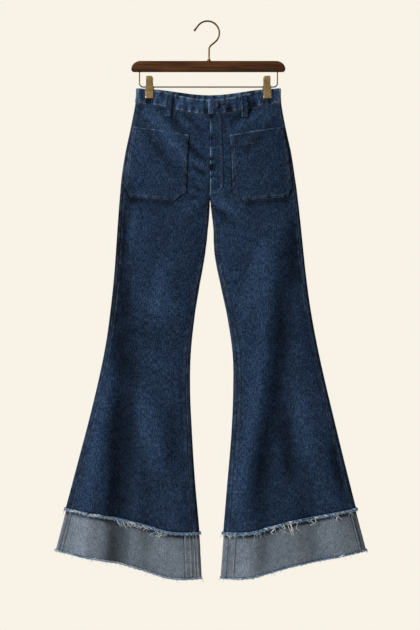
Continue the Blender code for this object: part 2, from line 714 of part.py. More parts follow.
def build_bands():
    """A front and a back length of reversed denim for each leg, lapped under its raw edge."""
    for leg in ("left", "right"):
        for face, places in (("front", front_qs), ("back", back_qs)):
            outer = skin(leg, BAND_LEVELS, places, BAND_INSET)
            inner = skin(leg, BAND_LEVELS, places, BAND_INSET + BAND_WALL)
            name = f"hem_band_{face}_{leg}"
            add_object(name, wall_mesh(name, outer, inner), "denim_reverse")


def edge_ring(leg, level, inset):
    """The corners of the cloth's edge, as its front and back panels have them, in one closed ring."""
    places = front_qs(leg, level) + back_qs(leg, level)
    return [cloth_point(leg, q, level) - inset * cloth_normal(leg, q, level) for q in places]


def along_ring(ring, shares):
    """The ring's corners, with further points on its sides at the given shares of each."""
    points = []
    for i, side_shares in enumerate(shares):
        after = ring[(i + 1) % len(ring)]
        points += [mix(ring[i], after, share) for share in (0.0, *side_shares)]
    return points


def strand_shares(ring):
    """Shares of each side of the ring where a strand's root begins and ends, and which cells are roots."""
    shares, roots = [], []
    for i, corner_point in enumerate(ring):
        length = np.linalg.norm(ring[(i + 1) % len(ring)] - corner_point)
        count = int(round(length / STRAND_SPACING))
        half = STRAND_ROOT / 2 / length
        side = []
        for k in range(count):
            middle = (k + 0.5) / count
            side += [middle - half, middle + half]
        shares.append(side)
        roots += [False] + [True, False] * count
    return shares, roots


def build_fray(name, leg, levels, inset, lengths, seed):
    """A strip round the cloth's edge, with tapered strands drawn out of its lower rim."""
    draw = np.random.default_rng(seed)
    shares, roots = strand_shares(edge_ring(leg, levels[1], inset))
    skins = [
        along_ring(edge_ring(leg, level, depth), shares)
        for depth in (inset, inset + PANEL_WALL) for level in levels
    ]
    columns = len(roots)
    points = [point for row in skins for point in row]
    faces = []
    for column, is_root in enumerate(roots):
        beside = (column + 1) % columns
        outer_top, outer_low, inner_top, inner_low = (column + k * columns for k in range(4))
        outer_top_b, outer_low_b, inner_top_b, inner_low_b = (beside + k * columns for k in range(4))
        faces += [
            [outer_top, outer_top_b, outer_low_b, outer_low],
            [inner_top, inner_low, inner_low_b, inner_top_b],
            [outer_top, inner_top, inner_top_b, outer_top_b],
        ]
        root = [outer_low, outer_low_b, inner_low_b, inner_low]
        if not is_root:
            faces.append(root)
            continue
        across = points[outer_low_b] - points[outer_low]
        across /= np.linalg.norm(across)
        outward = points[outer_low] - points[inner_low]
        outward /= np.linalg.norm(outward)
        down = points[outer_low] - points[outer_top]
        down /= np.linalg.norm(down)
        reach = down * draw.uniform(*lengths) + across * draw.uniform(-1, 1) * STRAND_LEAN
        tip_centre = sum(points[i] for i in root) / 4 + reach + outward * STRAND_LIFT
        start = len(points)
        for side, out in ((-1, 1), (1, 1), (1, -1), (-1, -1)):
            points.append(tip_centre + (across * side + outward * out) * STRAND_TIP / 2)
        tip = [start, start + 1, start + 2, start + 3]
        faces.append(tip)
        faces += [[root[k], root[(k + 1) % 4], tip[(k + 1) % 4], tip[k]] for k in range(4)]
    add_object(name, mesh_from(name, points, faces), "fray")


def build_frays():
    for number, leg in enumerate(("left", "right")):
        build_fray(f"raw_edge_fray_{leg}", leg, LEG_FRAY_LEVELS, 0.0, STRAND_LENGTHS, 11 + number)
        build_fray(f"hem_fray_{leg}", leg, BAND_FRAY_LEVELS, BAND_INSET, HEM_STRAND_LENGTHS, 21 + number)


# Hanger

def wire(name, points, thickness, finish, radii=None, resolution=3):
    """A round wire along a line of points, with closed ends."""
    curve = bpy.data.curves.new(name, "CURVE")
    curve.dimensions = "3D"
    curve.bevel_depth = thickness / 2
    curve.bevel_resolution = resolution
    curve.use_fill_caps = True
    spline = curve.splines.new("POLY")
    spline.points.add(len(points) - 1)
    for i, point in enumerate(points):
        spline.points[i].co = (*point, 1)
        spline.points[i].radius = radii[i] if radii else 1
    return add_object(name, curve, finish)


def arc(centre, radius, start, end, count):
    """Points of an arc in the XZ plane. Angles in degrees, from +X towards +Z."""
    angles = np.radians(np.linspace(start, end, count))
    return [(centre[0] + radius * math.cos(a), 0.0, centre[1] + radius * math.sin(a)) for a in angles]


def build_hook():
    """A brass hook: a crown, an S-bend back over the middle, and a stem into the bar."""
    centre = (0.0, HOOK_WIRE / 2 - HOOK_RADIUS)
    tip = [(centre[0] - HOOK_TIP[0], 0.0, centre[1] + HOOK_TIP[1])]
    bow = arc(centre, HOOK_RADIUS, 152, -42, 19)
    bend_centre = (STEM_X + BEND_RADIUS, centre[1] - HOOK_RADIUS - BEND_DROP)
    bend = arc(bend_centre, BEND_RADIUS, 128, 180, 5)
    stem = [(STEM_X, 0.0, BAR_TOP_Z + SEAM_GAP)]
    points = tip + bow + bend + stem
    wire("hook", points, HOOK_WIRE, "brass", [HOOK_TIP_BALL / (HOOK_WIRE / 2)] + [1] * (len(points) - 1))


def build_ferrule():
    """The collar round the stem, where it enters the bar: a tube, so that the stem passes through."""
    sides = 16
    bore = HOOK_WIRE / 2 + SEAM_GAP
    low, high = BAR_TOP_Z + SEAM_GAP, BAR_TOP_Z + SEAM_GAP + FERRULE_HEIGHT
    rings = ((FERRULE_RADIUS, low), (FERRULE_RADIUS * 0.86, high), (bore, high), (bore, low))
    points, faces = [], []
    for radius, z in rings:
        for k in range(sides):
            angle = 2 * math.pi * k / sides
            points.append((STEM_X + radius * math.cos(angle), radius * math.sin(angle), z))
    for ring in range(4):
        for k in range(sides):
            a, b = ring * sides, ((ring + 1) % 4) * sides
            faces.append([a + k, a + (k + 1) % sides, b + (k + 1) % sides, b + k])
    add_object("hook_collar", mesh_from("hook_collar", points, faces), "brass")


def corner(centre, radii, start, count):
    """Points of a quarter ellipse in the XZ plane, from an angle, anticlockwise."""
    angles = [math.radians(start + 90 * k / (count - 1)) for k in range(count)]
    return [(centre[0] + radii[0] * math.cos(a), centre[1] + radii[1] * math.sin(a)) for a in angles]


def build_bar():
    """The wooden bar: an outline with large upper and small lower corners, and eased edges."""
    half = BAR_LENGTH / 2
    high, low = BAR_TOP_Z, BAR_TOP_Z - BAR_HEIGHT
    (wide, tall), (foot, rise) = BAR_TOP_CORNER, BAR_BOTTOM_CORNER
    right = BAR_CENTRE_X + half
    left = BAR_CENTRE_X - half
    outline = (
        corner((right - wide, high - tall), (wide, tall), 0, 7)
        + corner((left + wide, high - tall), (wide, tall), 90, 7)
        + corner((left + foot, low + rise), (foot, rise), 180, 4)
        + corner((right - foot, low + rise), (foot, rise), 270, 4)
    )
    middle = np.array((BAR_CENTRE_X, (high + low) / 2))
    rows = []
    for depth, ease in BAR_EASING:
        row = []
        for x, z in outline:
            toward = middle - (x, z)
            pull = np.clip(toward, -BAR_EDGE, BAR_EDGE) * ease
            row.append((x + pull[0], depth * BAR_DEPTH / 2, z + pull[1]))
        rows.append(row)
    count = len(outline)
    points = [p for row in rows for p in row]
    faces = [list(range(count)), list(range((len(rows) - 1) * count, len(rows) * count))]
    for row in range(len(rows) - 1):
        for k in range(count):
            a, b = row * count, (row + 1) * count
            faces.append([a + k, a + (k + 1) % count, b + (k + 1) % count, b + k])
    add_object("hanger_bar", mesh_from("hanger_bar", points, faces), "wood")


def build_rail():
    """The wire rail under the bar, bent up at both ends."""
    top = BAR_TOP_Z - BAR_HEIGHT - SEAM_GAP
    left, right = RAIL_LEFT_X, RAIL_RIGHT_X
    points = [(left, 0.0, top), (left, 0.0, RAIL_Z + 1.6 * RAIL_CORNER)]
    points += arc((left + RAIL_CORNER, RAIL_Z + RAIL_CORNER), RAIL_CORNER, 180, 270, 6)
    points += arc((right - RAIL_CORNER, RAIL_Z + RAIL_CORNER), RAIL_CORNER, 270, 360, 6)
    points += [(right, 0.0, RAIL_Z + 1.6 * RAIL_CORNER), (right, 0.0, top)]
    wire("hanger_rail", points, RAIL_WIRE, "brass")


def plate_line(face):
    """The side view of one clip plate, as (half width, y, z) down its outer skin."""
    jaw_y = PINCHED_DEPTH + (WAISTBAND_WALL - PANEL_WALL) + SEAM_GAP + CLIP_WALL
    rows = (
        (LEVER_WIDTH / 2, CLIP_LEVER_Y, CLIP_TOP_Z),
        (LEVER_WIDTH / 2, CLIP_LEVER_Y * 0.95, CLIP_TOP_Z - 8 * MM),
        (LEVER_WIDTH / 2, CLIP_RAIL_Y + CLIP_WALL + 1.4 * MM, RAIL_Z + 6 * MM),
        (JAW_WIDTH / 2, CLIP_RAIL_Y + CLIP_WALL, RAIL_Z),
        (JAW_WIDTH / 2, jaw_y + 1.2 * MM, RAIL_Z - 5 * MM),
        (JAW_WIDTH / 2, jaw_y, CLIP_BOTTOM_Z + 16 * MM),
        (JAW_WIDTH / 2, jaw_y, CLIP_BOTTOM_Z),
    )
    return [(half, -y if face == "front" else y, z) for half, y, z in rows]


def build_clips():
    """Two spring clips, each a front and a back plate that pinch the waist, on a spring round the rail."""
    for side, x in (("left", CLIP_LEFT_X), ("right", CLIP_RIGHT_X)):
        for face in ("front", "back"):
            shift = (0.0 if face == "front" else 1.4 * MM) * (1 if side == "left" else -1)
            inward = 1 if face == "front" else -1
            outer, inner = [], []
            for half, y, z in plate_line(face):
                xs = (x + shift - half, x + shift + half)
                outer.append([(px, y, z) for px in xs])
                inner.append([(px, y + inward * CLIP_WALL, z) for px in xs])
            name = f"clip_{face}_plate_{side}"
            add_object(name, wall_mesh(name, outer, inner), "brass")
        steps = SPRING_TURNS * SPRING_STEPS
        points = []
        for k in range(steps + 1):
            angle = 2 * math.pi * k / SPRING_STEPS
            along = (k / SPRING_STEPS - SPRING_TURNS / 2) * SPRING_PITCH
            y, rise = SPRING_RADIUS * math.cos(angle), SPRING_RADIUS * math.sin(angle)
            points.append((x + along, y, RAIL_Z + rise))
        wire(f"clip_spring_{side}", points, SPRING_WIRE, "brass", resolution=0)


def main():
    clear_scene()
    collection = bpy.data.collections.new("jeans_on_hanger")
    bpy.context.scene.collection.children.link(collection)
    build_panels()
    grids = front_grids()
    build_pockets(grids)
    build_fly(grids)
    build_waistband()
    build_button()
    build_belt_loops()
    build_bands()
    build_frays()
    build_hook()
    build_ferrule()
    build_bar()
    build_rail()
    build_clips()


main()
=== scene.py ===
"""The jeans and their hanger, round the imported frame: cloth, stitches, frayed edges, wood and brass."""

import math

import bmesh
import bpy
import numpy as np
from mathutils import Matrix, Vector


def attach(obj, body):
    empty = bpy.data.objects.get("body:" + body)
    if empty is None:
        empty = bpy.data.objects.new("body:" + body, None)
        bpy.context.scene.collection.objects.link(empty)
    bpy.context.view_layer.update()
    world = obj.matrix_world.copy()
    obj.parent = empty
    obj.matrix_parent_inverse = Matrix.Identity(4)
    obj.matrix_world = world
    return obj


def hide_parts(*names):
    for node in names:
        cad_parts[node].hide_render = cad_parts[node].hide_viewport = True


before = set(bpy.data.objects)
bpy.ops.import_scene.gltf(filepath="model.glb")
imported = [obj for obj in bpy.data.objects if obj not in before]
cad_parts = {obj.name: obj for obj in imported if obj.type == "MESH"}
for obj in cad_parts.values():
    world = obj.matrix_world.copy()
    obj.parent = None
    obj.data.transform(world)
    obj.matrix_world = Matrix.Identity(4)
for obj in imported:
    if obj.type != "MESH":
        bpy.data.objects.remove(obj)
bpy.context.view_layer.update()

MM = 0.001

# Cloth sizes, as in the part's source
PANEL_WALL, WAISTBAND_WALL, SEAM_GAP = 1.5 * MM, 2.4 * MM, 0.3 * MM
WAISTBAND_STANDS = WAISTBAND_WALL - PANEL_WALL
CENTRE_SEAM_X = 6.1 * MM
CROTCH_LEVEL, RAW_EDGE_LEVEL, HEM_LEVEL = 5.0, 14.0, 15.0
LEVEL_HEIGHT_AT_WAIST = 33.5 * MM
EDGE_RADIUS = 5.0 * MM
CROTCH_ROUND_HEIGHT, CROTCH_ROUND_WIDTH = 130 * MM, 75 * MM
TORSO_HEIGHT = 190 * MM
BULGE_POWER = 2.4
JAW_FROM_SIDE = (17 * MM, 43 * MM)
PINCHED_DEPTH, SIDE_LOOP_RADIUS = 2.7 * MM, 4.2 * MM
PINCH_FADE_LEVELS = (0.75, 2.6)
STRAIGHT_SAG, STRAIGHT_SAG_LEVELS = 0.9, (0.5, 2.5)
WAIST_END_Q = 0.02
FOLD_FADE_LEVELS = 2.0
HEM_DROOP, HEM_DROOP_LEVELS = 10 * MM, (11.0, 15.0)
HEM_DROOP_U, HEM_DROOP_WIDTH, DROOP_FROM_INSEAM = 0.22, 0.17, 40 * MM
CREASES_FROM_SIDE = 12 * MM
# Washing pales the ridges of the folds and creases, and painted shade darkens their troughs, more deeply than
# the ridges pale.
WASH_AND_SHADE_LIFT, CREASE_WASH_AND_SHADE = 6 * MM, 4.2
RIDGE_FADE, TROUGH_SHADE = 0.45, 1.15

SECTION_COLUMNS = (
    "outer_z", "inner_z", "back_inner_z",
    "left_outer_x", "left_inner_x", "right_inner_x", "right_outer_x",
    "front_depth", "back_depth", "side_seam_inset", "inseam_inset",
)
SECTION_ROWS = (
    (-154.5, -183.5, -167.0, -163.9, 6.1, 6.1, 169.0, 20, 18, 3, 0),
    (-187.5, -216.5, -201.0, -166.9, 6.1, 6.1, 171.1, 22, 20, 3, 0),
    (-241.0, -270.0, -259.0, -176.9, 6.1, 6.1, 180.4, 25, 24, 3, 0),
    (-301.5, -327.0, -320.0, -189.9, 6.1, 6.1, 193.8, 24, 24, 4, 0),
    (-357.0, -378.5, -376.0, -198.7, 6.1, 6.1, 202.4, 22, 24, 6, 0),
    (-394.5, -413.0, -413.0, -202.4, 5.9, 6.3, 207.8, 20, 23, 7, 0),
    (-454.5, -473.0, -473.0, -207.1, 1.7, 13.4, 214.7, 19, 22, 8, 1),
    (-519.5, -539.5, -539.5, -211.5, -6.1, 17.1, 221.4, 19, 20, 9, 2),
    (-591.5, -612.5, -612.5, -216.8, -18.9, 31.4, 229.1, 19, 19, 9, 4),
    (-666.0, -689.0, -689.0, -224.7, -30.3, 46.8, 239.3, 19, 18, 10, 7),
    (-744.5, -771.5, -771.5, -235.4, -38.6, 58.4, 253.5, 18, 17, 10, 9),
    (-827.0, -858.5, -858.5, -251.8, -40.0, 59.5, 271.3, 18, 17, 10, 10),
    (-918.5, -956.0, -956.0, -273.6, -35.6, 55.3, 293.1, 19, 18, 11, 11),
    (-1016.0, -1062.5, -1062.5, -299.2, -28.9, 46.5, 316.8, 21, 20, 11, 13),
    (-1132.0, -1188.0, -1188.0, -330.0, -18.0, 36.1, 346.0, 24, 22, 12, 15),
    (-1226.0, -1290.5, -1290.5, -354.6, -12.6, 28.7, 370.9, 26, 24, 13, 16),
)
FOLD_COLUMNS = (
    "leg", "face", "start_level", "full_level", "fade_level",
    "start_u", "hem_u", "half_width_mm", "rise_mm",
)
FOLD_ROWS = (
    ("left", "front", 7.5, 11.5, 15, 0.99, 0.80, 24, 8),
    ("left", "front", 7.5, 11.5, 15, 0.82, 0.57, 26, -8),
    ("left", "front", 12.0, 14.0, 15, 0.40, 0.40, 18, -2.5),
    ("left", "front", 8.5, 13.0, 15, 0.20, 0.14, 34, 4),
    ("right", "front", 5.2, 8.0, 12.5, 0.85, -0.05, 27, 9),
    ("right", "front", 5.2, 9.5, 12.5, 0.97, 0.12, 26, -8.5),
    ("right", "front", 12.0, 14.0, 15, 0.20, 0.17, 24, 3.5),
    ("right", "front", 12.0, 14.0, 15, 0.32, 0.31, 22, -3.5),
    ("right", "front", 12.0, 14.0, 15, 0.66, 0.645, 26, -3),
    ("right", "front", 8.5, 13.5, 15, 0.85, 0.84, 40, 4),
    ("left", "back", 6.5, 11.0, 15, 0.30, 0.22, 34, 8),
    ("left", "back", 7.0, 12.0, 15, 0.55, 0.55, 34, -9),
    ("left", "back", 8.0, 13.0, 15, 0.85, 0.84, 34, 6),
    ("right", "back", 6.5, 11.5, 15, 0.72, 0.78, 36, 8),
    ("right", "back", 7.0, 12.0, 15, 0.45, 0.40, 34, -9),
)

# Soft creases, placed in the view of each face: x0, z0, x1, z1, half width and rise, all in mm
CREASE_ROWS = {
    "front": (
        (-132, -202, -34, -346, 11, 3.2), (-104, -198, -10, -316, 9, -1.6), (-156, -236, -76, -350, 10, -1.1),
        (-100, -236, -84, -252, 4, 1.6), (134, -199, 66, -250, 9, 2.6), (112, -194, 56, -236, 8, -1.3),
        (152, -232, 80, -312, 10, -0.9), (-78, -290, -58, -317, 6, -2.0), (-60, -262, -14, -300, 7, 1.8),
        (-52, -218, -8, -262, 6, -1.6), (-34, -206, 0, -232, 5, 1.6), (-64, -338, -30, -352, 4, -1.6),
        (-52, -282, -8, -322, 5, -1.6), (-142, -204, -60, -288, 4, 1.4), (46, -230, 60, -296, 5, 1.5),
        (-43, -320, 2, -343, 5, 2.3), (-46, -334, -2, -356, 5, -2.2), (-40, -352, 0, -370, 5, 1.6),
        (-26, -376, 4, -389, 4, 1.6), (-32, -386, 0, -398, 4, -1.2), (-4, -400, -56, -392, 6, 1.2),
        (14, -400, 52, -388, 6, 1.4), (12, -408, 66, -446, 11, 1.9), (6, -420, 60, -470, 11, -1.4),
        (-2, -408, -58, -444, 11, 1.6), (-14, -238, -60, -246, 7, 1.1), (30, -300, 56, -334, 8, 1.2),
        (-150, -205, -118, -236, 7, 1.2), (152, -206, 128, -240, 7, 1.2), (-172, -430, -190, -600, 12, 1.8),
        (-186, -392, -208, -790, 22, -3.0), (-198, -880, -206, -1130, 22, -1.6),
        (-206, -1178, -204, -1312, 17, -3.2), (196, -470, 204, -600, 12, -1.8), (128, -520, 92, -680, 15, 1.8),
        (-96, -560, -120, -700, 18, 1.6), (-150, -640, -60, -672, 18, 1.4), (-205, -700, -110, -744, 16, -0.6),
        (120, -744, 214, -716, 16, -0.5), (-150, -860, -120, -1020, 20, 1.8), (-86, -900, -74, -1060, 17, -1.6),
        (210, -860, 236, -1010, 18, 1.8), (176, -900, 190, -1060, 16, -1.8), (284, -960, 312, -1100, 13, -1.4),
        (60, -1010, 70, -1130, 14, 1.4),
    ),
    "back": (
        (-120, -196, -22, -330, 15, 2.2), (130, -196, 40, -320, 15, 2.1), (-10, -392, -70, -410, 8, 1.9),
        (20, -392, 84, -412, 8, 1.8), (-6, -410, -96, -452, 12, -1.9), (18, -412, 110, -458, 12, -1.8),
        (-60, -660, -180, -690, 20, 1.8), (80, -650, 190, -684, 20, 1.7), (-70, -730, -190, -712, 16, -1.6),
        (90, -724, 200, -706, 16, -1.6), (-180, -900, -200, -1080, 20, 1.8), (130, -880, 120, -1060, 18, 1.8),
        (240, -920, 270, -1090, 16, -1.7),
    ),
}


# Small mathematics

def ease(t):
    return t * t * (3 - 2 * t)


def share_of(value, low, high):
    """How far a value is from low to high, kept from 0 to 1."""
    return np.clip((np.asarray(value, float) - low) / (high - low), 0, 1)


def smooth(value, low=0.0, high=1.0):
    return ease(share_of(value, low, high))


def mix(a, b, t):
    return a + (b - a) * t


def bell(distance, width_mm, at_mm=0.0):
    """A bell curve of a distance: 1 where it is at_mm, near 0 two widths away."""
    return np.exp(-(((distance - at_mm * MM) / (width_mm * MM)) ** 2))


def fall(distance, width_mm):
    """Falls from 1 at the edge, by distance."""
    return np.exp(-distance / (width_mm * MM))


def unit(vectors):
    return vectors / np.maximum(np.linalg.norm(vectors, axis=-1, keepdims=True), 1e-12)


def run_along(line):
    """Distances along a line of points, from its start."""
    return np.concatenate([[0], np.cumsum(np.linalg.norm(np.diff(line, axis=0), axis=1))])


def row_lengths(grid):
    """Distances along each row of a grid of points, from its first column."""
    steps = np.linalg.norm(np.diff(grid, axis=1), axis=2)
    return np.concatenate([np.zeros((len(grid), 1)), np.cumsum(steps, axis=1)], axis=1)


def ripple(along, pitch, seed):
    """Even noise from -1 to 1 along a line, for puckers beside a row of stitches."""
    values = np.random.default_rng(seed).uniform(-1, 1, 512)
    place = np.asarray(along) / pitch + 64
    i = np.floor(place).astype(int) % 511
    return mix(values[i], values[i + 1], ease(place - np.floor(place)))


# The surface of the cloth

TABLE = {name: np.array([row[i] for row in SECTION_ROWS]) * MM for i, name in enumerate(SECTION_COLUMNS)}
FOLDS = [dict(zip(FOLD_COLUMNS, row)) for row in FOLD_ROWS]


def at_level(column, level):
    """A column of the section table at any levels, on a smooth curve through its rows."""
    values = TABLE[column]
    level = np.asarray(level, float)
    i = np.clip(np.floor(level).astype(int), 0, len(values) - 2)
    t = level - i
    before, a, b, after = (values[np.clip(k, 0, len(values) - 1)] for k in (i - 1, i, i + 1, i + 2))
    in_slope, out_slope = (b - before) / 2, (after - a) / 2
    curve = mix(a, b, ease(t)) + in_slope * t * (1 - t) ** 2 - out_slope * t * t * (1 - t)
    return np.where((t > 1) | (t < 0), mix(a, b, t), curve)


def leg_width(leg, level):
    return np.abs(at_level(leg + "_outer_x", level) - at_level(leg + "_inner_x", level))


def u_of(q):
    """The share of the width at a place on the ring."""
    return np.sin(math.pi * q / 2) ** 2


def q_of(u):
    return 2 / math.pi * np.arcsin(np.sqrt(np.clip(u, 0, 1)))


def round_cap(distance, radius):
    return np.sqrt(np.clip(1 - (1 - np.clip(distance / radius, 0, 1)) ** 2, 0, 1))


def pinched_depth(from_side, width, centre_depth):
    """Half depth of the waist at a distance in from the side, with the clip's jaw in place."""
    jaw_start, jaw_end = JAW_FROM_SIDE
    loop = mix(SIDE_LOOP_RADIUS, PINCHED_DEPTH, smooth(from_side, 2 * SIDE_LOOP_RADIUS, jaw_start))
    loop = loop * round_cap(from_side, SIDE_LOOP_RADIUS)
    open_waist = mix(PINCHED_DEPTH, centre_depth, u_of(share_of(from_side, jaw_end, width)))
    return np.where(from_side < jaw_start, loop, np.where(from_side < jaw_end, PINCHED_DEPTH, open_waist))


def legs_merged(level, from_inner):
    """0 on the legs, 1 where they have become one torso. It rises fast at the crotch and slowly beside it."""
    height = at_level("inner_z", level) - at_level("inner_z", CROTCH_LEVEL)
    crotch = np.sin(math.pi / 2 * np.clip(height / CROTCH_ROUND_HEIGHT, 0, 1))
    return mix(crotch, smooth(height, 0.0, TORSO_HEIGHT), smooth(from_inner, 0.0, CROTCH_ROUND_WIDTH))


def fold_rise(leg, front, level, u, width):
    """How far the large folds lift the cloth."""
    rise = np.zeros(np.broadcast(front, level, u).shape)
    for fold in FOLDS:
        if fold["leg"] != leg:
            continue
        down = np.clip((level - fold["start_level"]) / (HEM_LEVEL - fold["start_level"]), 0, None)
        off = (u - mix(fold["start_u"], fold["hem_u"], down)) * width
        strength = smooth(level, fold["start_level"], fold["full_level"])
        strength = strength * (1 - smooth(level, fold["fade_level"], fold["fade_level"] + FOLD_FADE_LEVELS))
        here = (front == (fold["face"] == "front")) & (level > fold["start_level"])
        rise += here * fold["rise_mm"] * MM * strength * bell(off, fold["half_width_mm"])
    return rise * round_cap(u * width, 3 * EDGE_RADIUS) * round_cap((1 - u) * width, 3 * EDGE_RADIUS)


def crease_rise(front, x, z):
    """How far the small creases lift the cloth, from where it lies in the front view."""
    rise = np.zeros(np.broadcast(front, x, z).shape)
    for face, rows in CREASE_ROWS.items():
        here = front == (face == "front")
        for x0, z0, x1, z1, half_width, height in rows:
            start, run = np.array((x0, z0)) * MM, np.array((x1 - x0, z1 - z0)) * MM
            along = ((x - start[0]) * run[0] + (z - start[1]) * run[1]) / (run @ run)
            inside = np.clip(along, 0, 1)
            away = np.hypot(x - start[0] - inside * run[0], z - start[1] - inside * run[1])
            taper = np.sin(math.pi * (0.12 + 0.76 * inside))
            rise += here * height * MM * taper * bell(away, half_width)
    return rise


def cloth_point(leg, q, level):
    """Points of the outer surface. q runs round a level: 0 inner, 1 at the side, 2 inner again."""
    q, level = np.broadcast_arrays(np.asarray(q, float), np.asarray(level, float))
    on_leg = level >= CROTCH_LEVEL
    ring = np.where(on_leg, q % 2.0, np.clip(q, 0, 2))
    front = ring <= 1
    u = u_of(ring)
    outer_x = at_level(leg + "_outer_x", level)
    inner_x = np.where(on_leg, at_level(leg + "_inner_x", level), CENTRE_SEAM_X)
    width = np.abs(outer_x - inner_x)
    inner_z = np.where(front, at_level("inner_z", level), at_level("back_inner_z", level))
    merged = legs_merged(level, u * width)
    height = np.where(front, at_level("front_depth", level), at_level("back_depth", level))

    spread = (u + merged) / (1 + merged)
    cap = round_cap((u + merged) * width, EDGE_RADIUS) * round_cap((1 - u) * width, EDGE_RADIUS)
    bulge = 1 - np.abs(2 * spread - 1) ** BULGE_POWER
    depth = EDGE_RADIUS * cap + (height - EDGE_RADIUS) * bulge + fold_rise(leg, front, level, u, width)
    pinch = 1 - smooth(level, *PINCH_FADE_LEVELS)
    depth = mix(depth, pinched_depth((1 - u) * width, width, height), pinch)

    sag = mix(np.cos(math.pi / 2 * u) ** 2, 1 - u, STRAIGHT_SAG * smooth(level, *STRAIGHT_SAG_LEVELS))
    droop = HEM_DROOP * smooth(level, *HEM_DROOP_LEVELS)
    droop = droop * np.exp(-(((u - HEM_DROOP_U) / HEM_DROOP_WIDTH) ** 2))
    z = mix(at_level("outer_z", level), inner_z, sag) - droop * round_cap(u * width, DROOP_FROM_INSEAM)
    x = mix(inner_x, outer_x, u)
    creases = crease_rise(front, x, z) * smooth((1 - u) * width, 0, CREASES_FROM_SIDE)
    depth = depth + creases * (1 - 0.8 * pinch)
    return np.stack((x, np.where(front, -1, 1) * depth, z), axis=-1)


def cloth_normal(leg, q, level):
    """The outward normals of the surface."""
    step_q, step_level = 0.008, 0.02
    q, level = np.broadcast_arrays(np.asarray(q, float), np.asarray(level, float))
    on_leg = level >= CROTCH_LEVEL
    q = np.where(on_leg, q, np.clip(q, 2.5 * step_q, 2 - 2.5 * step_q))
    across = cloth_point(leg, q + step_q, level) - cloth_point(leg, q - step_q, level)
    high = np.maximum(level - step_level, 0.0)
    high = np.where(on_leg & (high < CROTCH_LEVEL), level, high)
    down = cloth_point(leg, q, level + step_level) - cloth_point(leg, q, high)
    return unit(np.cross(down, across) if leg == "right" else np.cross(across, down))


def wash_and_shade_of(leg, q, levels):
    """How far washing has paled the ridges and painted shade darkens the troughs, from about -1 to 1."""
    level = np.broadcast_to(np.asarray(levels, float)[:, None], q.shape)
    front = q % 2.0 <= 1
    points = cloth_point(leg, q, level)
    lift = fold_rise(leg, front, level, u_of(q), leg_width(leg, level))
    lift = np.where(lift > 0, RIDGE_FADE * lift, lift)
    lift = lift + CREASE_WASH_AND_SHADE * crease_rise(front, points[..., 0], points[..., 2])
    wash_and_shade = np.tanh(lift / WASH_AND_SHADE_LIFT)
    return np.where(wash_and_shade < 0, TROUGH_SHADE * wash_and_shade, wash_and_shade)


def nudged(leg, q, level, distance):
    """q moved along the ring by a small distance."""
    step = 0.002
    length = np.linalg.norm(cloth_point(leg, q + step, level) - cloth_point(leg, q - step, level), axis=-1)
    return q + distance * 2 * step / np.maximum(length, 1e-6)


def side_seam_q(leg, level):
    return q_of(1 - at_level("side_seam_inset", level) / leg_width(leg, level))


def inseam_q(leg, level):
    level = np.asarray(level, float)
    return np.where(level < CROTCH_LEVEL, 0.0, q_of(at_level("inseam_inset", level) / leg_width(leg, level)))


def waist_q(leg, x, level):
    return q_of((x - CENTRE_SEAM_X) / (at_level(leg + "_outer_x", level) - CENTRE_SEAM_X))


def front_grid(leg, levels, fractions):
    """q of a front panel's columns, one row for each level."""
    levels = np.asarray(levels, float)
    gap = np.where(levels < CROTCH_LEVEL, 0.0, SEAM_GAP / 2)
    first = nudged(leg, inseam_q(leg, levels), levels, gap)
    last = nudged(leg, side_seam_q(leg, levels), levels, -SEAM_GAP / 2)
    return q_of(mix(u_of(first)[:, None], u_of(last)[:, None], np.asarray(fractions)[None, :]))


def shared_out(leg, level, first, last, count, bend_share):
    """count places from first to last along the ring, closer together where the cloth turns."""
    fine = np.linspace(first, last, 321)
    runs = np.diff(cloth_point(leg, fine, level), axis=0)
    lengths = np.linalg.norm(runs, axis=1)
    directions = runs / np.maximum(lengths, 1e-9)[:, None]
    turns = np.arccos(np.clip((directions[1:] * directions[:-1]).sum(1), -1, 1))
    turning = np.zeros(len(lengths))
    turning[1:] += turns / 2
    turning[:-1] += turns / 2
    weight = (1 - bend_share) * lengths / lengths.sum() + bend_share * turning / turning.sum()
    along = np.concatenate([[0], np.cumsum(weight)])
    return np.interp(np.linspace(0, along[-1], count), along, fine)


def back_grid(leg, levels, count):
    """q of a back panel's columns: from the side seam, round the back, to the inseam."""
    rows = []
    for level in levels:
        first = nudged(leg, side_seam_q(leg, level), level, SEAM_GAP / 2)
        last = 2.0
        if level >= CROTCH_LEVEL:
            last = nudged(leg, inseam_q(leg, level) + 2, level, -SEAM_GAP / 2)
        rows.append(shared_out(leg, level, float(first), float(last), count, 0.3))
    return np.array(rows)


def dense_levels(first, last, step):
    """Levels about a step apart in height."""
    fine = np.linspace(first, last, 600)
    heights = -at_level("inner_z", fine)
    count = int((heights[-1] - heights[0]) / step) + 1
    return np.interp(np.linspace(heights[0], heights[-1], count), heights, fine)


def edge_fractions(count):
    """Shares from 0 to 1, closer together at both ends."""
    k = np.linspace(0, 1, count)
    return 0.72 * k + 0.28 * (0.5 - 0.5 * np.cos(math.pi * k))


def lay(leg, q, levels, lift=0.0):
    """Points at a height above the surface, and its normals."""
    levels = np.asarray(levels)[:, None]
    normals = cloth_normal(leg, q, levels)
    return cloth_point(leg, q, levels) + normals * np.asarray(lift)[..., None], normals


def seam_distances(grid, face):
    """Distances along a panel's rows, from its inseam and from its side seam."""
    across = row_lengths(grid)
    ends = across, across[:, -1:] - across
    return ends if face == "front" else ends[::-1]


def line_in_grid(grid, normals, distance, from_last, rows):
    """The line at a distance in from one side of a grid of points, over a range of rows, and its normals."""
    across = row_lengths(grid)
    line, line_normals = [], []
    for row in range(*rows):
        place = across[row, -1] - distance if from_last else distance
        line.append([np.interp(place, across[row], grid[row, :, k]) for k in range(3)])
        line_normals.append([np.interp(place, across[row], normals[row, :, k]) for k in range(3)])
    return line, line_normals


# Materials

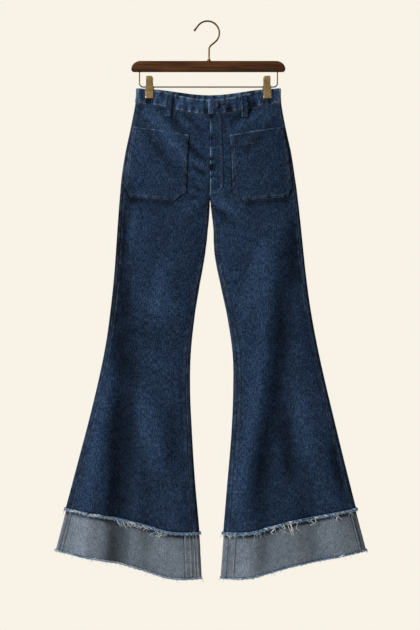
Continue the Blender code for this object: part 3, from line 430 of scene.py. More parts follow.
class Nodes:
    """Adds the nodes of a material or a world, and links them."""

    def __init__(self, owner):
        owner.use_nodes = True
        self.owner, self.tree = owner, owner.node_tree

    def feed(self, node, inputs):
        """Gives a node's inputs their constants or their links."""
        for name, value in inputs.items():
            socket = node.inputs[name]
            if isinstance(value, bpy.types.NodeSocket):
                self.tree.links.new(value, socket)
            elif socket.type == "RGBA":
                socket.default_value = (*value, 1)
            else:
                socket.default_value = value
        return self.owner

    def node(self, kind, inputs=(), **settings):
        made = self.tree.nodes.new("ShaderNode" + kind)
        for key, value in settings.items():
            setattr(made, key, value)
        self.feed(made, dict(inputs))
        return made.outputs

    def attribute(self, name, output="Fac"):
        return self.node("Attribute", attribute_type="GEOMETRY", attribute_name=name)[output]

    def object_place(self):
        return self.node("TexCoord")["Object"]

    def maths(self, operation, a, b):
        return self.node("Math", {0: a, 1: b}, operation=operation)["Value"]

    def times(self, a, b):
        return self.maths("MULTIPLY", a, b)

    def add(self, first, *others):
        for other in others:
            first = self.maths("ADD", first, other)
        return first

    def scaled(self, source, scale, turn=0.0):
        return self.node("Mapping", {"Scale": scale, "Rotation": (0, 0, turn), "Vector": source})["Vector"]

    def noise(self, source, scale, detail, rough):
        inputs = {"Scale": 1.0, "Detail": detail, "Roughness": rough, "Vector": self.scaled(source, scale)}
        return self.node("TexNoise", inputs)["Fac"]

    def ramp(self, source, stops):
        """A colour ramp with (place, grey or colour) stops."""
        output = self.node("ValToRGB", {"Fac": source})["Color"]
        elements = output.node.color_ramp.elements
        while len(elements) < len(stops):
            elements.new(0.5)
        for element, (place, colour) in zip(elements, stops):
            element.position = place
            element.color = (*((colour,) * 3 if isinstance(colour, (int, float)) else colour), 1)
        return output

    def blend(self, factor, a, b, kind="MIX"):
        """Two colours mixed by a factor."""
        return self.node("Mix", {0: factor, 6: a, 7: b}, data_type="RGBA", blend_type=kind)[2]

    def bump(self, height, distance, strength):
        return self.node("Bump", {"Height": height, "Distance": distance, "Strength": strength})["Normal"]

    def finish(self, colour, roughness, specular=0.5, **more):
        """The main shader's inputs. Returns the material."""
        inputs = {name.replace("_", " "): value for name, value in more.items()}
        inputs.update({"Base Color": colour, "Roughness": roughness, "Specular IOR Level": specular})
        return self.feed(self.tree.nodes["Principled BSDF"], inputs)


def new_material(name):
    return Nodes(bpy.data.materials.new(name))


RIB_PITCH, RIB_TURN = 0.9 * MM, math.radians(-28)
DENIM_SIDES = {
    "denim": {
        "deep": (0.0027, 0.0064, 0.0158), "mid": (0.0096, 0.0214, 0.0480), "pale": (0.033, 0.061, 0.114),
        "worn": (0.17, 0.235, 0.33), "ribs": 0.13,
    },
    "denim_reverse": {
        "deep": (0.076, 0.096, 0.126), "mid": (0.127, 0.156, 0.197), "pale": (0.200, 0.234, 0.275),
        "worn": (0.43, 0.46, 0.49), "ribs": 0.14,
    },
}


def denim(name):
    """Indigo twill: slubs down the warp, flecks of weft, soft clouds from washing, paler worn edges, and the
    painted shade that each piece carries.
    """
    tones, made = DENIM_SIDES[name], new_material(name)
    add, times = made.add, made.times
    cloth = made.attribute("cloth", "Vector")
    slub = made.noise(cloth, (360, 110, 1), 4.0, 0.68)
    blotch = made.noise(cloth, (80, 56, 1), 4.0, 0.6)
    fleck = made.noise(cloth, (430, 360, 1), 2.0, 0.62)
    cloud = made.noise(cloth, (19, 12, 1), 3.0, 0.55)
    rub = made.noise(cloth, (260, 260, 1), 3.0, 0.65)
    ribs = made.node("TexWave", {
        "Scale": 0.314, "Distortion": 0.6, "Detail": 1.0, "Detail Scale": 0.6,
        "Vector": made.scaled(cloth, (1 / RIB_PITCH,) * 3, RIB_TURN),
    }, wave_type="BANDS", bands_direction="X", wave_profile="SIN")["Fac"]
    tone = add(times(slub, 0.41), times(blotch, 0.15), times(fleck, 0.44))
    base = made.ramp(tone, ((0.425, tones["deep"]), (0.50, tones["mid"]), (0.585, tones["pale"])))
    base = made.blend(times(ribs, tones["ribs"]), base, tones["pale"])
    # The colour is scaled paler on worn ridges and in clouds, and darker with painted shade where each piece's
    # values fall below zero.
    wash_and_shade_scale = add(times(made.attribute("wash_and_shade"), 0.62), times(cloud, 0.8), 0.64)
    wash_and_shade_scale = made.maths("MAXIMUM", wash_and_shade_scale, 0.24)
    washed_and_shaded = made.node("VectorMath", {0: base, "Scale": wash_and_shade_scale}, operation="SCALE")["Vector"]
    worn = made.maths("POWER", times(made.attribute("wear"), times(rub, 2.0)), 1.5)
    colour = made.blend(made.maths("MINIMUM", worn, 1.0), washed_and_shaded, tones["worn"])
    height = add(times(ribs, 0.35), times(blotch, 0.7), times(add(slub, fleck), 0.8))
    return made.finish(colour, 0.92, 0.05, Normal=made.bump(height, 0.6 * MM, 0.6))


def thread_material(name, stops):
    """Cotton thread, coloured by each thread's own tone."""
    made = new_material(name)
    return made.finish(made.ramp(made.attribute("tone"), stops), 0.9, 0.1)


def walnut():
    """Dark walnut with grain along the bar, under a satin lacquer."""
    made = new_material("wood")
    place = made.object_place()
    grain = made.noise(place, (9, 260, 420), 4.0, 0.6)
    figure = made.noise(place, (7, 40, 70), 3.0, 0.55)
    pores = made.noise(place, (60, 900, 1500), 1.0, 0.5)
    base = made.ramp(made.add(made.times(grain, 0.5), made.times(figure, 0.5)), (
        (0.34, (0.016, 0.0060, 0.0024)), (0.47, (0.048, 0.0165, 0.0052)),
        (0.57, (0.086, 0.030, 0.0082)), (0.72, (0.17, 0.062, 0.014)),
    ))
    colour = made.blend(0.6, base, made.ramp(pores, ((0.30, 0.25), (0.42, 1.0))), "MULTIPLY")
    normal = made.bump(made.add(grain, pores), 0.15 * MM, 0.5)
    return made.finish(colour, 0.5, 0.14, Coat_Weight=0.04, Coat_Roughness=0.3, Normal=normal)


def antique_brass(name, pale, dark, grain_scale):
    """Brushed brass that has darkened unevenly."""
    made = new_material(name)
    place = made.object_place()
    patina, brushed = made.noise(place, (260,) * 3, 4.0, 0.65), made.noise(place, grain_scale, 2.0, 0.6)
    tone = made.add(made.times(patina, 0.6), made.times(brushed, 0.4))
    colour = made.ramp(tone, ((0.38, dark), (0.62, pale)))
    roughness = made.ramp(tone, ((0.35, 0.58), (0.65, 0.36)))
    return made.finish(colour, roughness, Metallic=1.0, Normal=made.bump(tone, 0.12 * MM, 0.5))


def button_material():
    made = new_material("button")
    wear = made.noise(made.object_place(), (500,) * 3, 3.0, 0.6)
    base = made.ramp(wear, ((0.40, (0.007, 0.013, 0.034)), (0.66, (0.022, 0.040, 0.084))))
    # The tone values blend in a paler blue: a painted highlight along the rim.
    colour = made.blend(made.attribute("tone"), base, (0.050, 0.080, 0.135))
    return made.finish(colour, 0.55, 0.2, Normal=made.bump(wear, 0.1 * MM, 0.4))


MATERIALS = {
    "denim": denim("denim"),
    "denim_reverse": denim("denim_reverse"),
    "fray": thread_material("fray", (
        (0.0, (0.014, 0.038, 0.092)), (0.38, (0.075, 0.155, 0.275)), (0.62, (0.25, 0.36, 0.48)),
        (0.85, (0.54, 0.60, 0.64)), (1.0, (0.80, 0.76, 0.68)),
    )),
    "stitch": thread_material("stitch", ((0.0, (0.012, 0.020, 0.036)), (1.0, (0.075, 0.094, 0.125)))),
    "buttonhole": thread_material("buttonhole", ((0.0, (0.022, 0.018, 0.024)), (1.0, (0.056, 0.037, 0.037)))),
    "wood": walnut(),
    "brass": antique_brass("brass", (0.235, 0.145, 0.052), (0.080, 0.048, 0.018), (900, 900, 120)),
    "clip_brass": antique_brass("clip_brass", (0.70, 0.51, 0.24), (0.22, 0.146, 0.064), (1200, 1200, 260)),
    "button": button_material(),
}


# Meshes

def add_piece(name, mesh, finishes, replaced=()):
    """An object on the one body, with its finish and the nodes that it stands for."""
    obj = bpy.data.objects.new(name, mesh)
    bpy.context.scene.collection.objects.link(obj)
    for finish in finishes:
        mesh.materials.append(MATERIALS[finish])
    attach(obj, "root")
    if replaced:
        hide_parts(*replaced)
    return obj


def set_point_values(mesh, name, kind, values):
    field = "vector" if kind == "FLOAT_VECTOR" else "value"
    made = mesh.attributes.new(name, kind, "POINT")
    made.data.foreach_set(field, np.asarray(values, np.float32).ravel())


def ring_faces(rings, sides, start=0, closed=False):
    """Quads between rings of points. closed joins the last ring to the first."""
    faces = []
    for ring in range(rings if closed else rings - 1):
        low, high = start + ring * sides, start + (ring + 1) % rings * sides
        for k in range(sides):
            after = (k + 1) % sides
            faces.append((low + k, low + after, high + after, high + k))
    return faces


def tube_faces(rings, sides, start=0):
    """Quads between rings of points, with both ends closed."""
    last = start + (rings - 1) * sides
    caps = [tuple(range(start, start + sides))[::-1], tuple(range(last, last + sides))]
    return ring_faces(rings, sides, start) + caps


def tube_rings(line, radii, up, sides):
    """Rings of points round a line, with a radius for each of its points."""
    line = np.asarray(line, float)
    runs = unit(np.gradient(line, axis=0))
    side = unit(np.cross(runs, up))
    rise = np.cross(side, runs)
    angles = (np.arange(sides) * 2 * math.pi / sides)[None, :, None]
    return line[:, None] + np.asarray(radii)[:, None, None] * (
        np.cos(angles) * side[:, None] + np.sin(angles) * rise[:, None])


def wall_faces(rows, columns, ring=False):
    """Faces of a closed wall between two grids of points: outer skin, inner skin, then rims."""
    def quads(*corners):
        return np.stack([side * rows * columns + row * columns + column % columns
                         for side, row, column in corners], 1)

    spans = np.arange(columns if ring else columns - 1)
    row, column = (table.ravel() for table in np.meshgrid(np.arange(rows - 1), spans, indexing="ij"))
    outer = quads((0, row, column), (0, row, column + 1), (0, row + 1, column + 1), (0, row + 1, column))
    inner = (outer + rows * columns)[:, ::-1]
    rims = [quads((0, edge, spans), (1, edge, spans), (1, edge, spans + 1), (0, edge, spans + 1))[:, ::turn]
            for edge, turn in ((0, 1), (rows - 1, -1))]
    if not ring:
        steps = np.arange(rows - 1)
        rims += [quads((0, steps, edge), (1, steps, edge), (1, steps + 1, edge), (0, steps + 1, edge))[:, ::turn]
                 for edge, turn in ((0, -1), (columns - 1, 1))]
    return outer, inner, np.concatenate(rims)


def cloth_wall(name, outer, inner, wear, finishes, replaced=(), ring=False, wash_and_shade=0.0):
    """A piece of cloth between two grids of points, with its weave's coordinates, its wear, and its washing and
    painted shade.
    """
    rows, columns = outer.shape[:2]
    skin, back, rims = wall_faces(rows, columns, ring)
    points = np.concatenate([outer.reshape(-1, 3), inner.reshape(-1, 3)])
    a, b, _, d = skin[len(skin) // 2]
    if np.cross(points[b] - points[a], points[d] - points[a]) @ (points[a] - points[a + rows * columns]) < 0:
        skin, back, rims = skin[:, ::-1], back[:, ::-1], rims[:, ::-1]
    mesh = bpy.data.meshes.new(name)
    mesh.from_pydata(points.tolist(), [], np.concatenate([skin, back, rims]).tolist())
    count, number = len(skin), np.arange(len(mesh.polygons))
    mesh.polygons.foreach_set("use_smooth", number < 2 * count)
    if len(finishes) > 1:
        on_back = (number >= count) & (number < 2 * count)
        mesh.polygons.foreach_set("material_index", on_back.astype(np.int32))
    across = row_lengths(outer)
    across -= across[:, [columns // 2]]
    downs = np.linalg.norm(np.diff(outer, axis=0), axis=2).mean(axis=1)
    down = np.concatenate([[0], np.cumsum(downs)])[:, None] * np.ones((1, columns))
    offset = (sum(map(ord, name)) % 97) * 0.13
    weave = np.stack([across + offset, down - offset, np.zeros_like(down)], axis=-1)
    set_point_values(mesh, "cloth", "FLOAT_VECTOR", np.stack([weave, weave]))
    wear, wash_and_shade = (np.broadcast_to(values, (rows, columns)) for values in (wear, wash_and_shade))
    set_point_values(mesh, "wear", "FLOAT", np.stack([wear, wear * 0.5]))
    set_point_values(mesh, "wash_and_shade", "FLOAT", np.stack([wash_and_shade, wash_and_shade]))
    return add_piece(name, mesh, finishes, replaced)


def declare_cloth(obj, threads, slot="denim"):
    """Adds a piece's stitching."""
    stitching = threads.made(obj.name.removesuffix("_cloth") + "_stitching", "stitch", slot=slot)


def edge_wear(outer, reach_mm, sides):
    """Wear that rises towards the top, bottom, first and last edges of a grid, and the distances to them."""
    across, down = row_lengths(outer), row_lengths(outer.swapaxes(0, 1)).T
    distances = (down, down[-1:] - down, across, across[:, -1:] - across)
    wear = [amount * bell(distance, reach_mm) for distance, amount in zip(distances, sides)]
    return np.max(wear, 0), distances


class Threads:
    """Gathers short stitches and loose threads, and makes one mesh of them."""

    def __init__(self, seed):
        self.points, self.faces, self.tones = [], [], []
        self.draw = np.random.default_rng(seed)

    def tube(self, line, radii, up, sides, tone):
        """A closed tube along a line, with a radius for each point."""
        self.faces.extend(tube_faces(len(line), sides, len(self.points)))
        self.points.extend(tube_rings(line, radii, up, sides).reshape(-1, 3).tolist())
        self.tones.extend([tone] * (len(line) * sides))

    def stitches(self, line, normals, pitch=3.3 * MM, length=2.7 * MM, radius=0.34 * MM, lift=0.12 * MM):
        """A row of stitches along a line of surface points."""
        line, normals = np.asarray(line, float), np.asarray(normals, float)
        along = run_along(line)
        if along[-1] < pitch:
            return
        count = max(1, int(along[-1] / pitch))
        for k in range(count):
            middle = (k + 0.5) * along[-1] / count
            half = length / 2 * self.draw.uniform(0.9, 1.05)
            places = middle + np.array((-1, -0.62, 0.62, 1)) * half
            points = np.stack([np.interp(places, along, line[:, i]) for i in range(3)], axis=1)
            normal = unit(np.array([np.interp(middle, along, normals[:, i]) for i in range(3)]))
            points += normal * (lift + np.array((-1.5, 0.2, 0.2, -1.5)) * radius)[:, None]
            self.tube(points, np.array((0.55, 1, 1, 0.55)) * radius, normal, 5, self.draw.uniform(0.1, 1.0))

    def loose(self, root, down, across, out, length, radius, curl, tone, sides, lean, steps):
        """A loose thread that leaves its root, bends under its own weight and curls at its end."""
        t = np.linspace(0, 1, steps)[:, None]
        sway, kick = self.draw.uniform(-1, 1), self.draw.uniform(0.2, 1.0)
        wave = self.draw.uniform(-1, 1) * np.sin(t * math.pi * self.draw.uniform(1.0, 2.4))
        line = root + down * length * (t - 0.12 * t * t)
        line = line + across * length * (sway * curl * t + wave * curl * 0.45 + lean * t)
        line = line + out * length * kick * 0.35 * np.sin(t * math.pi * 0.7)
        self.tube(line, radius * (1 - 0.45 * t[:, 0]), out, sides, tone)

    def roll(self, line, out, radius, seed, pale, sides=10):
        """The twisted roll of a raw edge: a lumpy closed ring of cross threads with mottled tones."""
        rise = unit(np.cross(out, unit(np.roll(line, -1, 0) - np.roll(line, 1, 0))))
        along = np.cumsum(np.linalg.norm(line - np.roll(line, 1, 0), axis=1))[:, None]
        wander = 0.5 * ripple(along, 9 * MM, seed + 4) * rise + 0.35 * ripple(along, 7 * MM, seed + 5) * out
        line = line + radius * wander
        angle = (np.arange(sides) * 2 * math.pi / sides)[None, :]
        twist = np.sin(2 * angle + along / (1.9 * MM))
        lump = ripple(along + angle * MM, 6 * MM, seed) + 0.6 * ripple(along - angle * MM, 2.6 * MM, seed + 1)
        size = (radius * (0.82 + 0.33 * lump + 0.18 * twist))[..., None]
        around = np.cos(angle)[..., None] * out[:, None] + 1.15 * np.sin(angle)[..., None] * rise[:, None]
        self.faces.extend(ring_faces(len(line), sides, len(self.points), closed=True))
        self.points.extend((line[:, None] + size * around).reshape(-1, 3).tolist())
        tones = 0.40 + pale + 0.24 * twist + 0.46 * ripple(along + angle * 1.5 * MM, 3.6 * MM, seed + 2)
        tones = tones + 0.24 * ripple(along, 17 * MM, seed + 3)
        self.tones.extend(np.clip(tones, 0, 0.86).ravel().tolist())

    def made(self, name, finish, slot):
        mesh = bpy.data.meshes.new(name)
        mesh.from_pydata(self.points, [], self.faces)
        mesh.polygons.foreach_set("use_smooth", np.ones(len(mesh.polygons), bool))
        set_point_values(mesh, "tone", "FLOAT", self.tones)
        return add_piece(name, mesh, [finish])


# Trouser panels

PANEL_TOP_LEVEL, PANEL_END_LEVEL = 1.01, 13.945
PANEL_ROW_STEP, FRONT_COLUMNS, BACK_COLUMNS = 5 * MM, 84, 92
INSEAM_FELL, SIDE_FELL, FELL_SLOPE = 9 * MM, 6 * MM, 1.2 * MM
POCKET_TOP_LEVEL, POCKET_CUT_LEVEL, POCKET_BOTTOM_LEVEL = 2.054, 4.7, 5.2
POCKET_FRACTIONS, POCKET_FOOT_FRACTIONS = (0.272, 0.98), (0.40, 0.92)
POCKET_GAP, POCKET_WALL, POCKET_HEM_EXTRA = 0.5 * MM, 1.6 * MM, 0.7 * MM
POCKET_HEM = 27 * MM
POCKET_STITCHES, POCKET_HEM_STITCHES = (2.4 * MM, 8.4 * MM), POCKET_HEM - 3 * MM
POCKET_ROWS, POCKET_COLUMNS, PANEL_MIDDLE_COLUMN = 64, 60, 40
LEVEL_HEIGHT_AT_POCKET = 22 * MM
LEG_SEAM_LEVELS, INSEAM_STITCH_LEVEL = (5.2, 6.0), 5.1
INSEAM_STITCHES, SIDE_STITCHES = (1.8 * MM, 7.2 * MM), 1.9 * MM


def pocket_sides(levels):
    """The shares of the panel's width where a pocket starts and ends, narrower over its cut corners."""
    cut = share_of(levels, POCKET_CUT_LEVEL, POCKET_BOTTOM_LEVEL)
    return [mix(mouth, foot, cut) for mouth, foot in zip(POCKET_FRACTIONS, POCKET_FOOT_FRACTIONS)]


def pocket_shade(levels, shares, width):
    """1 close outside a pocket's inner side and its foot, where its edge shades the panel."""
    levels = levels[:, None]
    first, last = pocket_sides(levels)
    beside, beyond = (first - shares) * width, (shares - last) * width
    below = (levels - POCKET_BOTTOM_LEVEL) * LEVEL_HEIGHT_AT_POCKET
    here = (levels > POCKET_TOP_LEVEL) & (levels <= POCKET_BOTTOM_LEVEL)
    foot = bell(below, 3.5, 2) * (beside < 0) * (beyond < 0)
    return np.where(here, bell(beside, 2.2, 1.5) + bell(beyond, 2.2, 1.5), foot)


def build_panel(leg, face):
    levels = dense_levels(PANEL_TOP_LEVEL, PANEL_END_LEVEL, PANEL_ROW_STEP)
    shares = edge_fractions(FRONT_COLUMNS)
    q = front_grid(leg, levels, shares) if face == "front" else back_grid(leg, levels, BACK_COLUMNS)
    flat, _ = lay(leg, q, levels)
    inner_edge, side_edge = seam_distances(flat, face)
    down = run_along(flat[:, PANEL_MIDDLE_COLUMN])[:, None]
    legs_only = smooth(levels, *LEG_SEAM_LEVELS)[:, None]
    side_ripple, inner_ripple = ripple(down, 8 * MM, 3), ripple(down, 7 * MM, 5)

    lift = 0.45 * MM * legs_only * (1 - smooth(inner_edge, INSEAM_FELL - FELL_SLOPE, INSEAM_FELL))
    lift += 0.35 * MM * legs_only * (1 - smooth(side_edge, SIDE_FELL - FELL_SLOPE, SIDE_FELL))
    lift += 0.30 * MM * side_ripple * bell(side_edge, 8)
    lift += 0.32 * MM * inner_ripple * bell(inner_edge, 11) * (0.3 + 0.7 * legs_only)
    outer, normals = lay(leg, q, levels, lift)

    wear = 0.26 * bell(side_edge, 2.6, 3) * (0.5 + 0.6 * side_ripple)
    wear += 0.28 * legs_only * bell(inner_edge, 3, 5) * (0.5 + 0.6 * inner_ripple)
    wear = np.clip(wear + 0.22 * bell(down, 4), 0, 1)
    # Painted shade: the folds' troughs, a band just under the waistband, the hips along the centre seam above
    # the crotch, the steps at the fells' edges, and the panel just outside each pocket. The puckers beside the
    # seams are paler and darker in turn with wear.
    wash_and_shade = wash_and_shade_of(leg, q, levels) - 0.55 * fall(down, 10)
    wash_and_shade -= 0.7 * (1 - legs_only) * fall(inner_edge, 4)
    wash_and_shade -= 0.5 * legs_only * (bell(inner_edge - INSEAM_FELL, 1.6) + bell(side_edge - SIDE_FELL, 1.6))
    wash_and_shade += 0.45 * side_ripple * bell(side_edge, 10) + 0.45 * inner_ripple * bell(inner_edge, 13)
    if face == "front":
        wash_and_shade -= 0.9 * pocket_shade(levels, shares, inner_edge[:, -1:])

    name = f"{face}_panel_{leg}"
    lengths = [f"{name}_{part}" for part in ("hip", "thigh", "calf")]
    inner = flat - normals * PANEL_WALL
    obj = cloth_wall(name + "_cloth", outer, inner, wear, ["denim", "denim_reverse"], lengths, wash_and_shade=wash_and_shade)
    threads = Threads(100 + len(name))
    start = int(np.searchsorted(levels, INSEAM_STITCH_LEVEL))
    for distance in INSEAM_STITCHES:
        threads.stitches(*line_in_grid(outer, normals, distance, face == "back", (start, len(levels))))
    threads.stitches(*line_in_grid(outer, normals, SIDE_STITCHES, face == "front", (2, len(levels))))
    declare_cloth(obj, threads)


# Pockets, fly and waistband

def build_pocket(leg):
    """A patch pocket with a wide hem along its mouth and cut lower corners."""
    levels = np.linspace(POCKET_TOP_LEVEL, POCKET_BOTTOM_LEVEL, POCKET_ROWS)
    shares = edge_fractions(POCKET_COLUMNS)
    q = np.array([front_grid(leg, [level], mix(first, last, shares))[0]
                  for level, first, last in zip(levels, *pocket_sides(levels))])
    flat, normals = lay(leg, q, levels)
    wear, (down, up, left, right) = edge_wear(flat, 1.7, (0.95, 0.55, 0.55, 0.50))
    edge = np.minimum(np.minimum(left, right), up)
    nearest, below_hem = np.minimum(edge, down), down - POCKET_HEM
    hem_ripple, rubbed = ripple(left, 6 * MM, 14 + len(leg)), ripple(left + down, 7 * MM, 12 + len(leg))

    lift = POCKET_GAP + POCKET_WALL - 0.6 * MM * fall(nearest, 0.9)
    lift += POCKET_HEM_EXTRA * (1 - smooth(below_hem, -0.8 * MM, 0.8 * MM))
    lift -= 0.25 * MM * (bell(edge, 1.3, 3) + bell(below_hem, 1.5, -3))
    lift += 0.35 * MM * (ripple(left + down, 7 * MM, 12) * bell(nearest, 7) + hem_ripple * bell(below_hem, 6))
    outer, inner = flat + normals * lift[..., None], flat + normals * POCKET_GAP

    wear = np.max([wear, 0.34 * bell(edge, 1.4, 5.5), 0.30 * bell(below_hem, 1.6)], 0)
    wear = np.clip(wear * (0.62 + 0.6 * rubbed), 0, 1)
    wash_and_shade = wash_and_shade_of(leg, q, levels) + 0.9 * rubbed * bell(edge, 9) + 0.55 * hem_ripple * bell(below_hem, 6)
    # Painted shade just under the hem's edge and along the stitch groove inside the pocket's edges.
    wash_and_shade -= 0.5 * bell(below_hem, 1.5, 1.5) + 0.6 * bell(edge, 0.8, 2.7)
    name = f"patch_pocket_{leg}"
    obj = cloth_wall(name + "_cloth", outer, inner, wear, ["denim", "denim_reverse"], [name], wash_and_shade=wash_and_shade)

    threads = Threads(200 + len(leg))
    middle = outer.shape[1] // 2
    for inset in POCKET_STITCHES:
        foot = int(np.searchsorted(-up[:, middle], -inset))
        reach = row_lengths(outer)[foot]
        keep = (reach > inset) & (reach < reach[-1] - inset)
        (left_line, left_normals), (right_line, right_normals) = (
            line_in_grid(outer, normals, inset, from_last, (1, foot)) for from_last in (False, True))
        threads.stitches(left_line + outer[foot][keep].tolist() + right_line[::-1],
                         left_normals + normals[foot][keep].tolist() + right_normals[::-1])
    hem_row = int(np.searchsorted(down[:, middle], POCKET_HEM_STITCHES))
    threads.stitches(outer[hem_row, 2:-2], normals[hem_row, 2:-2])
    declare_cloth(obj, threads)


FLY_FRACTION, FLY_TURN_LEVEL, FLY_END_LEVEL = 0.165, 4.02, 4.74
FLY_GAP, FLY_WALL, FLY_LEAST_WALL = 0.45 * MM, 1.2 * MM, 0.12 * MM
FLY_ROWS, FLY_COLUMNS = 90, 30
FLY_STITCHES, FLY_STITCHED_WIDTH, FLY_FOOT_SHARE = (2.2 * MM, 7.5 * MM), 9 * MM, 0.965


def build_fly():
    """The fly's lap: a fold at the centre that thins towards its J of stitches."""
    levels = np.linspace(PANEL_TOP_LEVEL, FLY_END_LEVEL, FLY_ROWS)
    reach = FLY_FRACTION * np.sqrt(1 - share_of(levels, FLY_TURN_LEVEL, FLY_END_LEVEL + 0.01) ** 2)
    shares = np.linspace(0, 1, FLY_COLUMNS)
    q = np.array([front_grid("right", [level], shares * far)[0] for level, far in zip(levels, reach)])
    flat, normals = lay("right", q, levels)
    across, from_last = seam_distances(flat, "front")
    share = across / np.maximum(across[:, -1:], 1e-6)
    down = run_along(flat[:, 0])[:, None]
    rubbed = ripple(down, 8 * MM, 21)

    height = mix(FLY_WALL, 0.25 * MM, smooth(share, 0.1, 1.0)) - 0.5 * MM * fall(across, 0.7)
    height += 0.50 * MM * rubbed * bell(across, 11)
    height += 0.25 * MM * ripple(down, 7 * MM, 22) * bell(from_last, 7)
    outer = flat + normals * (FLY_GAP + np.maximum(height, FLY_LEAST_WALL))[..., None]
    inner = flat + normals * FLY_GAP
    bend = 0.5 + 0.5 * smooth(levels, FLY_TURN_LEVEL - 0.4, FLY_TURN_LEVEL + 0.1)[:, None]
    wear = np.clip(0.85 * bell(across, 2.0) * (0.6 + 0.8 * rubbed), 0, 1)
    wear = np.maximum(wear, 0.46 * bend * bell(from_last, 1.5, 4.8) * (0.8 + 0.4 * ripple(down, 5 * MM, 23)))
    # Paler where the fold is rubbed, and darker along the outer row of stitches.
    wash_and_shade = wash_and_shade_of("right", q, levels) + 0.15 + 2.3 * rubbed * bell(across, 10)
    wash_and_shade -= 0.6 * bell(from_last, 1.2, 2.2)
    obj = cloth_wall("fly_placket_cloth", outer, inner, wear, ["denim", "denim"], ["fly_placket"], wash_and_shade=wash_and_shade)

    threads = Threads(31)
    last = int(np.argmax(across[:, -1] < FLY_STITCHED_WIDTH))
    for distance in FLY_STITCHES:
        threads.stitches(*line_in_grid(outer, normals, distance, True, (1, last)))
    low = int(len(levels) * FLY_FOOT_SHARE)
    threads.stitches(outer[low, ::-1], normals[low, ::-1])
    declare_cloth(obj, threads)


WAISTBAND_LAP_X = 2.2 * MM
UNDERLAP_LENGTH, UNDERLAP_RAMP = 28 * MM, 14 * MM
UNDERLAP_STEP = WAISTBAND_WALL + SEAM_GAP + 0.1 * MM
FRONT_FACING = np.array((0.0, -1.0, 0.0))
WAIST_STITCH_LEVELS = (0.085, 0.90)
WAIST_FRONT_COLUMNS, WAIST_BACK_COLUMNS = 76, 80


def band_puckers(down, along, seed, upper_reach_mm):
    """The puckers beside a waistband's two rows of stitches, from -1 to 1."""
    high, low = ripple(along, 5 * MM, seed), ripple(along, 6 * MM, seed + 1)
    return high * bell(down, upper_reach_mm) + low * bell(down.max() - down, 12)


def band_lift(down, along, seed):
    """A waistband's relief: rounded edges, grooves at its two rows of stitches, and puckers beside them."""
    up = down.max() - down
    edge = np.minimum(down, up)
    lift = -0.8 * MM * fall(edge, 0.9) - 0.25 * MM * bell(edge, 1.4, 3)
    lift += 1.0 * MM * band_puckers(down, along, seed, 12)
    return lift + 0.25 * MM * ripple(along + down * 0.6, 13 * MM, seed + 2)


def build_waist_length(name, rows_of, seed):
    """One length of the waistband, from a function that gives its places row by row."""
    levels = np.concatenate([[0, 0.02, 0.05], np.linspace(0.09, 0.91, 15), [0.95, 0.98, 1.0]])
    points, normals = rows_of(levels)
    down = (levels * LEVEL_HEIGHT_AT_WAIST)[:, None] * np.ones((1, points.shape[1]))
    along, up = row_lengths(points), down.max() - down
    outer = points + normals * (WAISTBAND_STANDS + band_lift(down, along, seed))[..., None]
    inner = points - normals * PANEL_WALL
    pale = band_puckers(down, along, seed, 13)
    wear, _ = edge_wear(outer, 3.2, (0.95, 0.65, 0.85, 0.85))
    wear = np.clip(wear * (0.8 + 0.8 * pale), 0, 1)
    # Paler on the puckers' crests and darker between them, partly from wear and partly as painted light and
    # shade; painted shade along the seam at the band's lower edge.
    wash_and_shade = 0.62 + 2.9 * pale - 1.7 * bell(up, 1.4)
    obj = cloth_wall(name + "_cloth", outer, inner, wear, ["denim"], [name], wash_and_shade=wash_and_shade)
    threads = Threads(seed)
    for row in np.searchsorted(levels, WAIST_STITCH_LEVELS):
        threads.stitches(outer[row], normals[row])
    declare_cloth(obj, threads)


def front_waist_rows(leg, levels):
    """The waistband's places on one front half, from the side seam to just short of the centre."""
    seam = nudged(leg, side_seam_q(leg, levels), levels, -SEAM_GAP / 2)
    q = q_of(mix(u_of(seam)[:, None], u_of(WAIST_END_Q), edge_fractions(WAIST_FRONT_COLUMNS)[None, :]))
    return lay(leg, q, levels)


def with_end(points, normals, columns):
    """Rows of places, carried on by columns of points that face the front."""
    ends = np.stack(columns, axis=1)
    facing = np.broadcast_to(FRONT_FACING, ends.shape)
    return np.concatenate([points, ends], axis=1), np.concatenate([normals, facing], axis=1)


def right_waist_rows(levels):
    points, normals = front_waist_rows("right", levels)
    ends = []
    for x in np.linspace(points[0, -1, 0], WAISTBAND_LAP_X, 5)[1:]:
        ends.append(points[:, -1].copy())
        ends[-1][:, 0] = x
    return with_end(points, normals, ends)


def left_waist_rows(levels):
    ramp_end = WAISTBAND_LAP_X - 2 * MM
    ramp_start = ramp_end - UNDERLAP_RAMP
    points, normals = front_waist_rows("left", levels)
    kept = int((points[0, :, 0] < ramp_start - 2 * MM).sum())
    ends = []
    for x in np.linspace(ramp_start, ramp_end + UNDERLAP_LENGTH, 22):
        leg = "left" if x < CENTRE_SEAM_X else "right"
        ends.append(cloth_point(leg, np.maximum(waist_q(leg, x, levels), WAIST_END_Q), levels))
        ends[-1][:, 0] = x
        ends[-1][:, 1] += UNDERLAP_STEP * smooth(x, ramp_start, ramp_end)
    return with_end(points[:, :kept], normals[:, :kept], ends)


def back_waist_rows(levels):
    halves = []
    for leg in ("left", "right"):
        firsts = (float(nudged(leg, side_seam_q(leg, level), level, SEAM_GAP / 2)) for level in levels)
        q = np.array([shared_out(leg, level, first, 2 - WAIST_END_Q, WAIST_BACK_COLUMNS, 0.25)
                      for level, first in zip(levels, firsts)])
        halves.append([part if leg == "left" else part[:, ::-1] for part in lay(leg, q, levels)])
    return [np.concatenate(parts, axis=1) for parts in zip(*halves)]


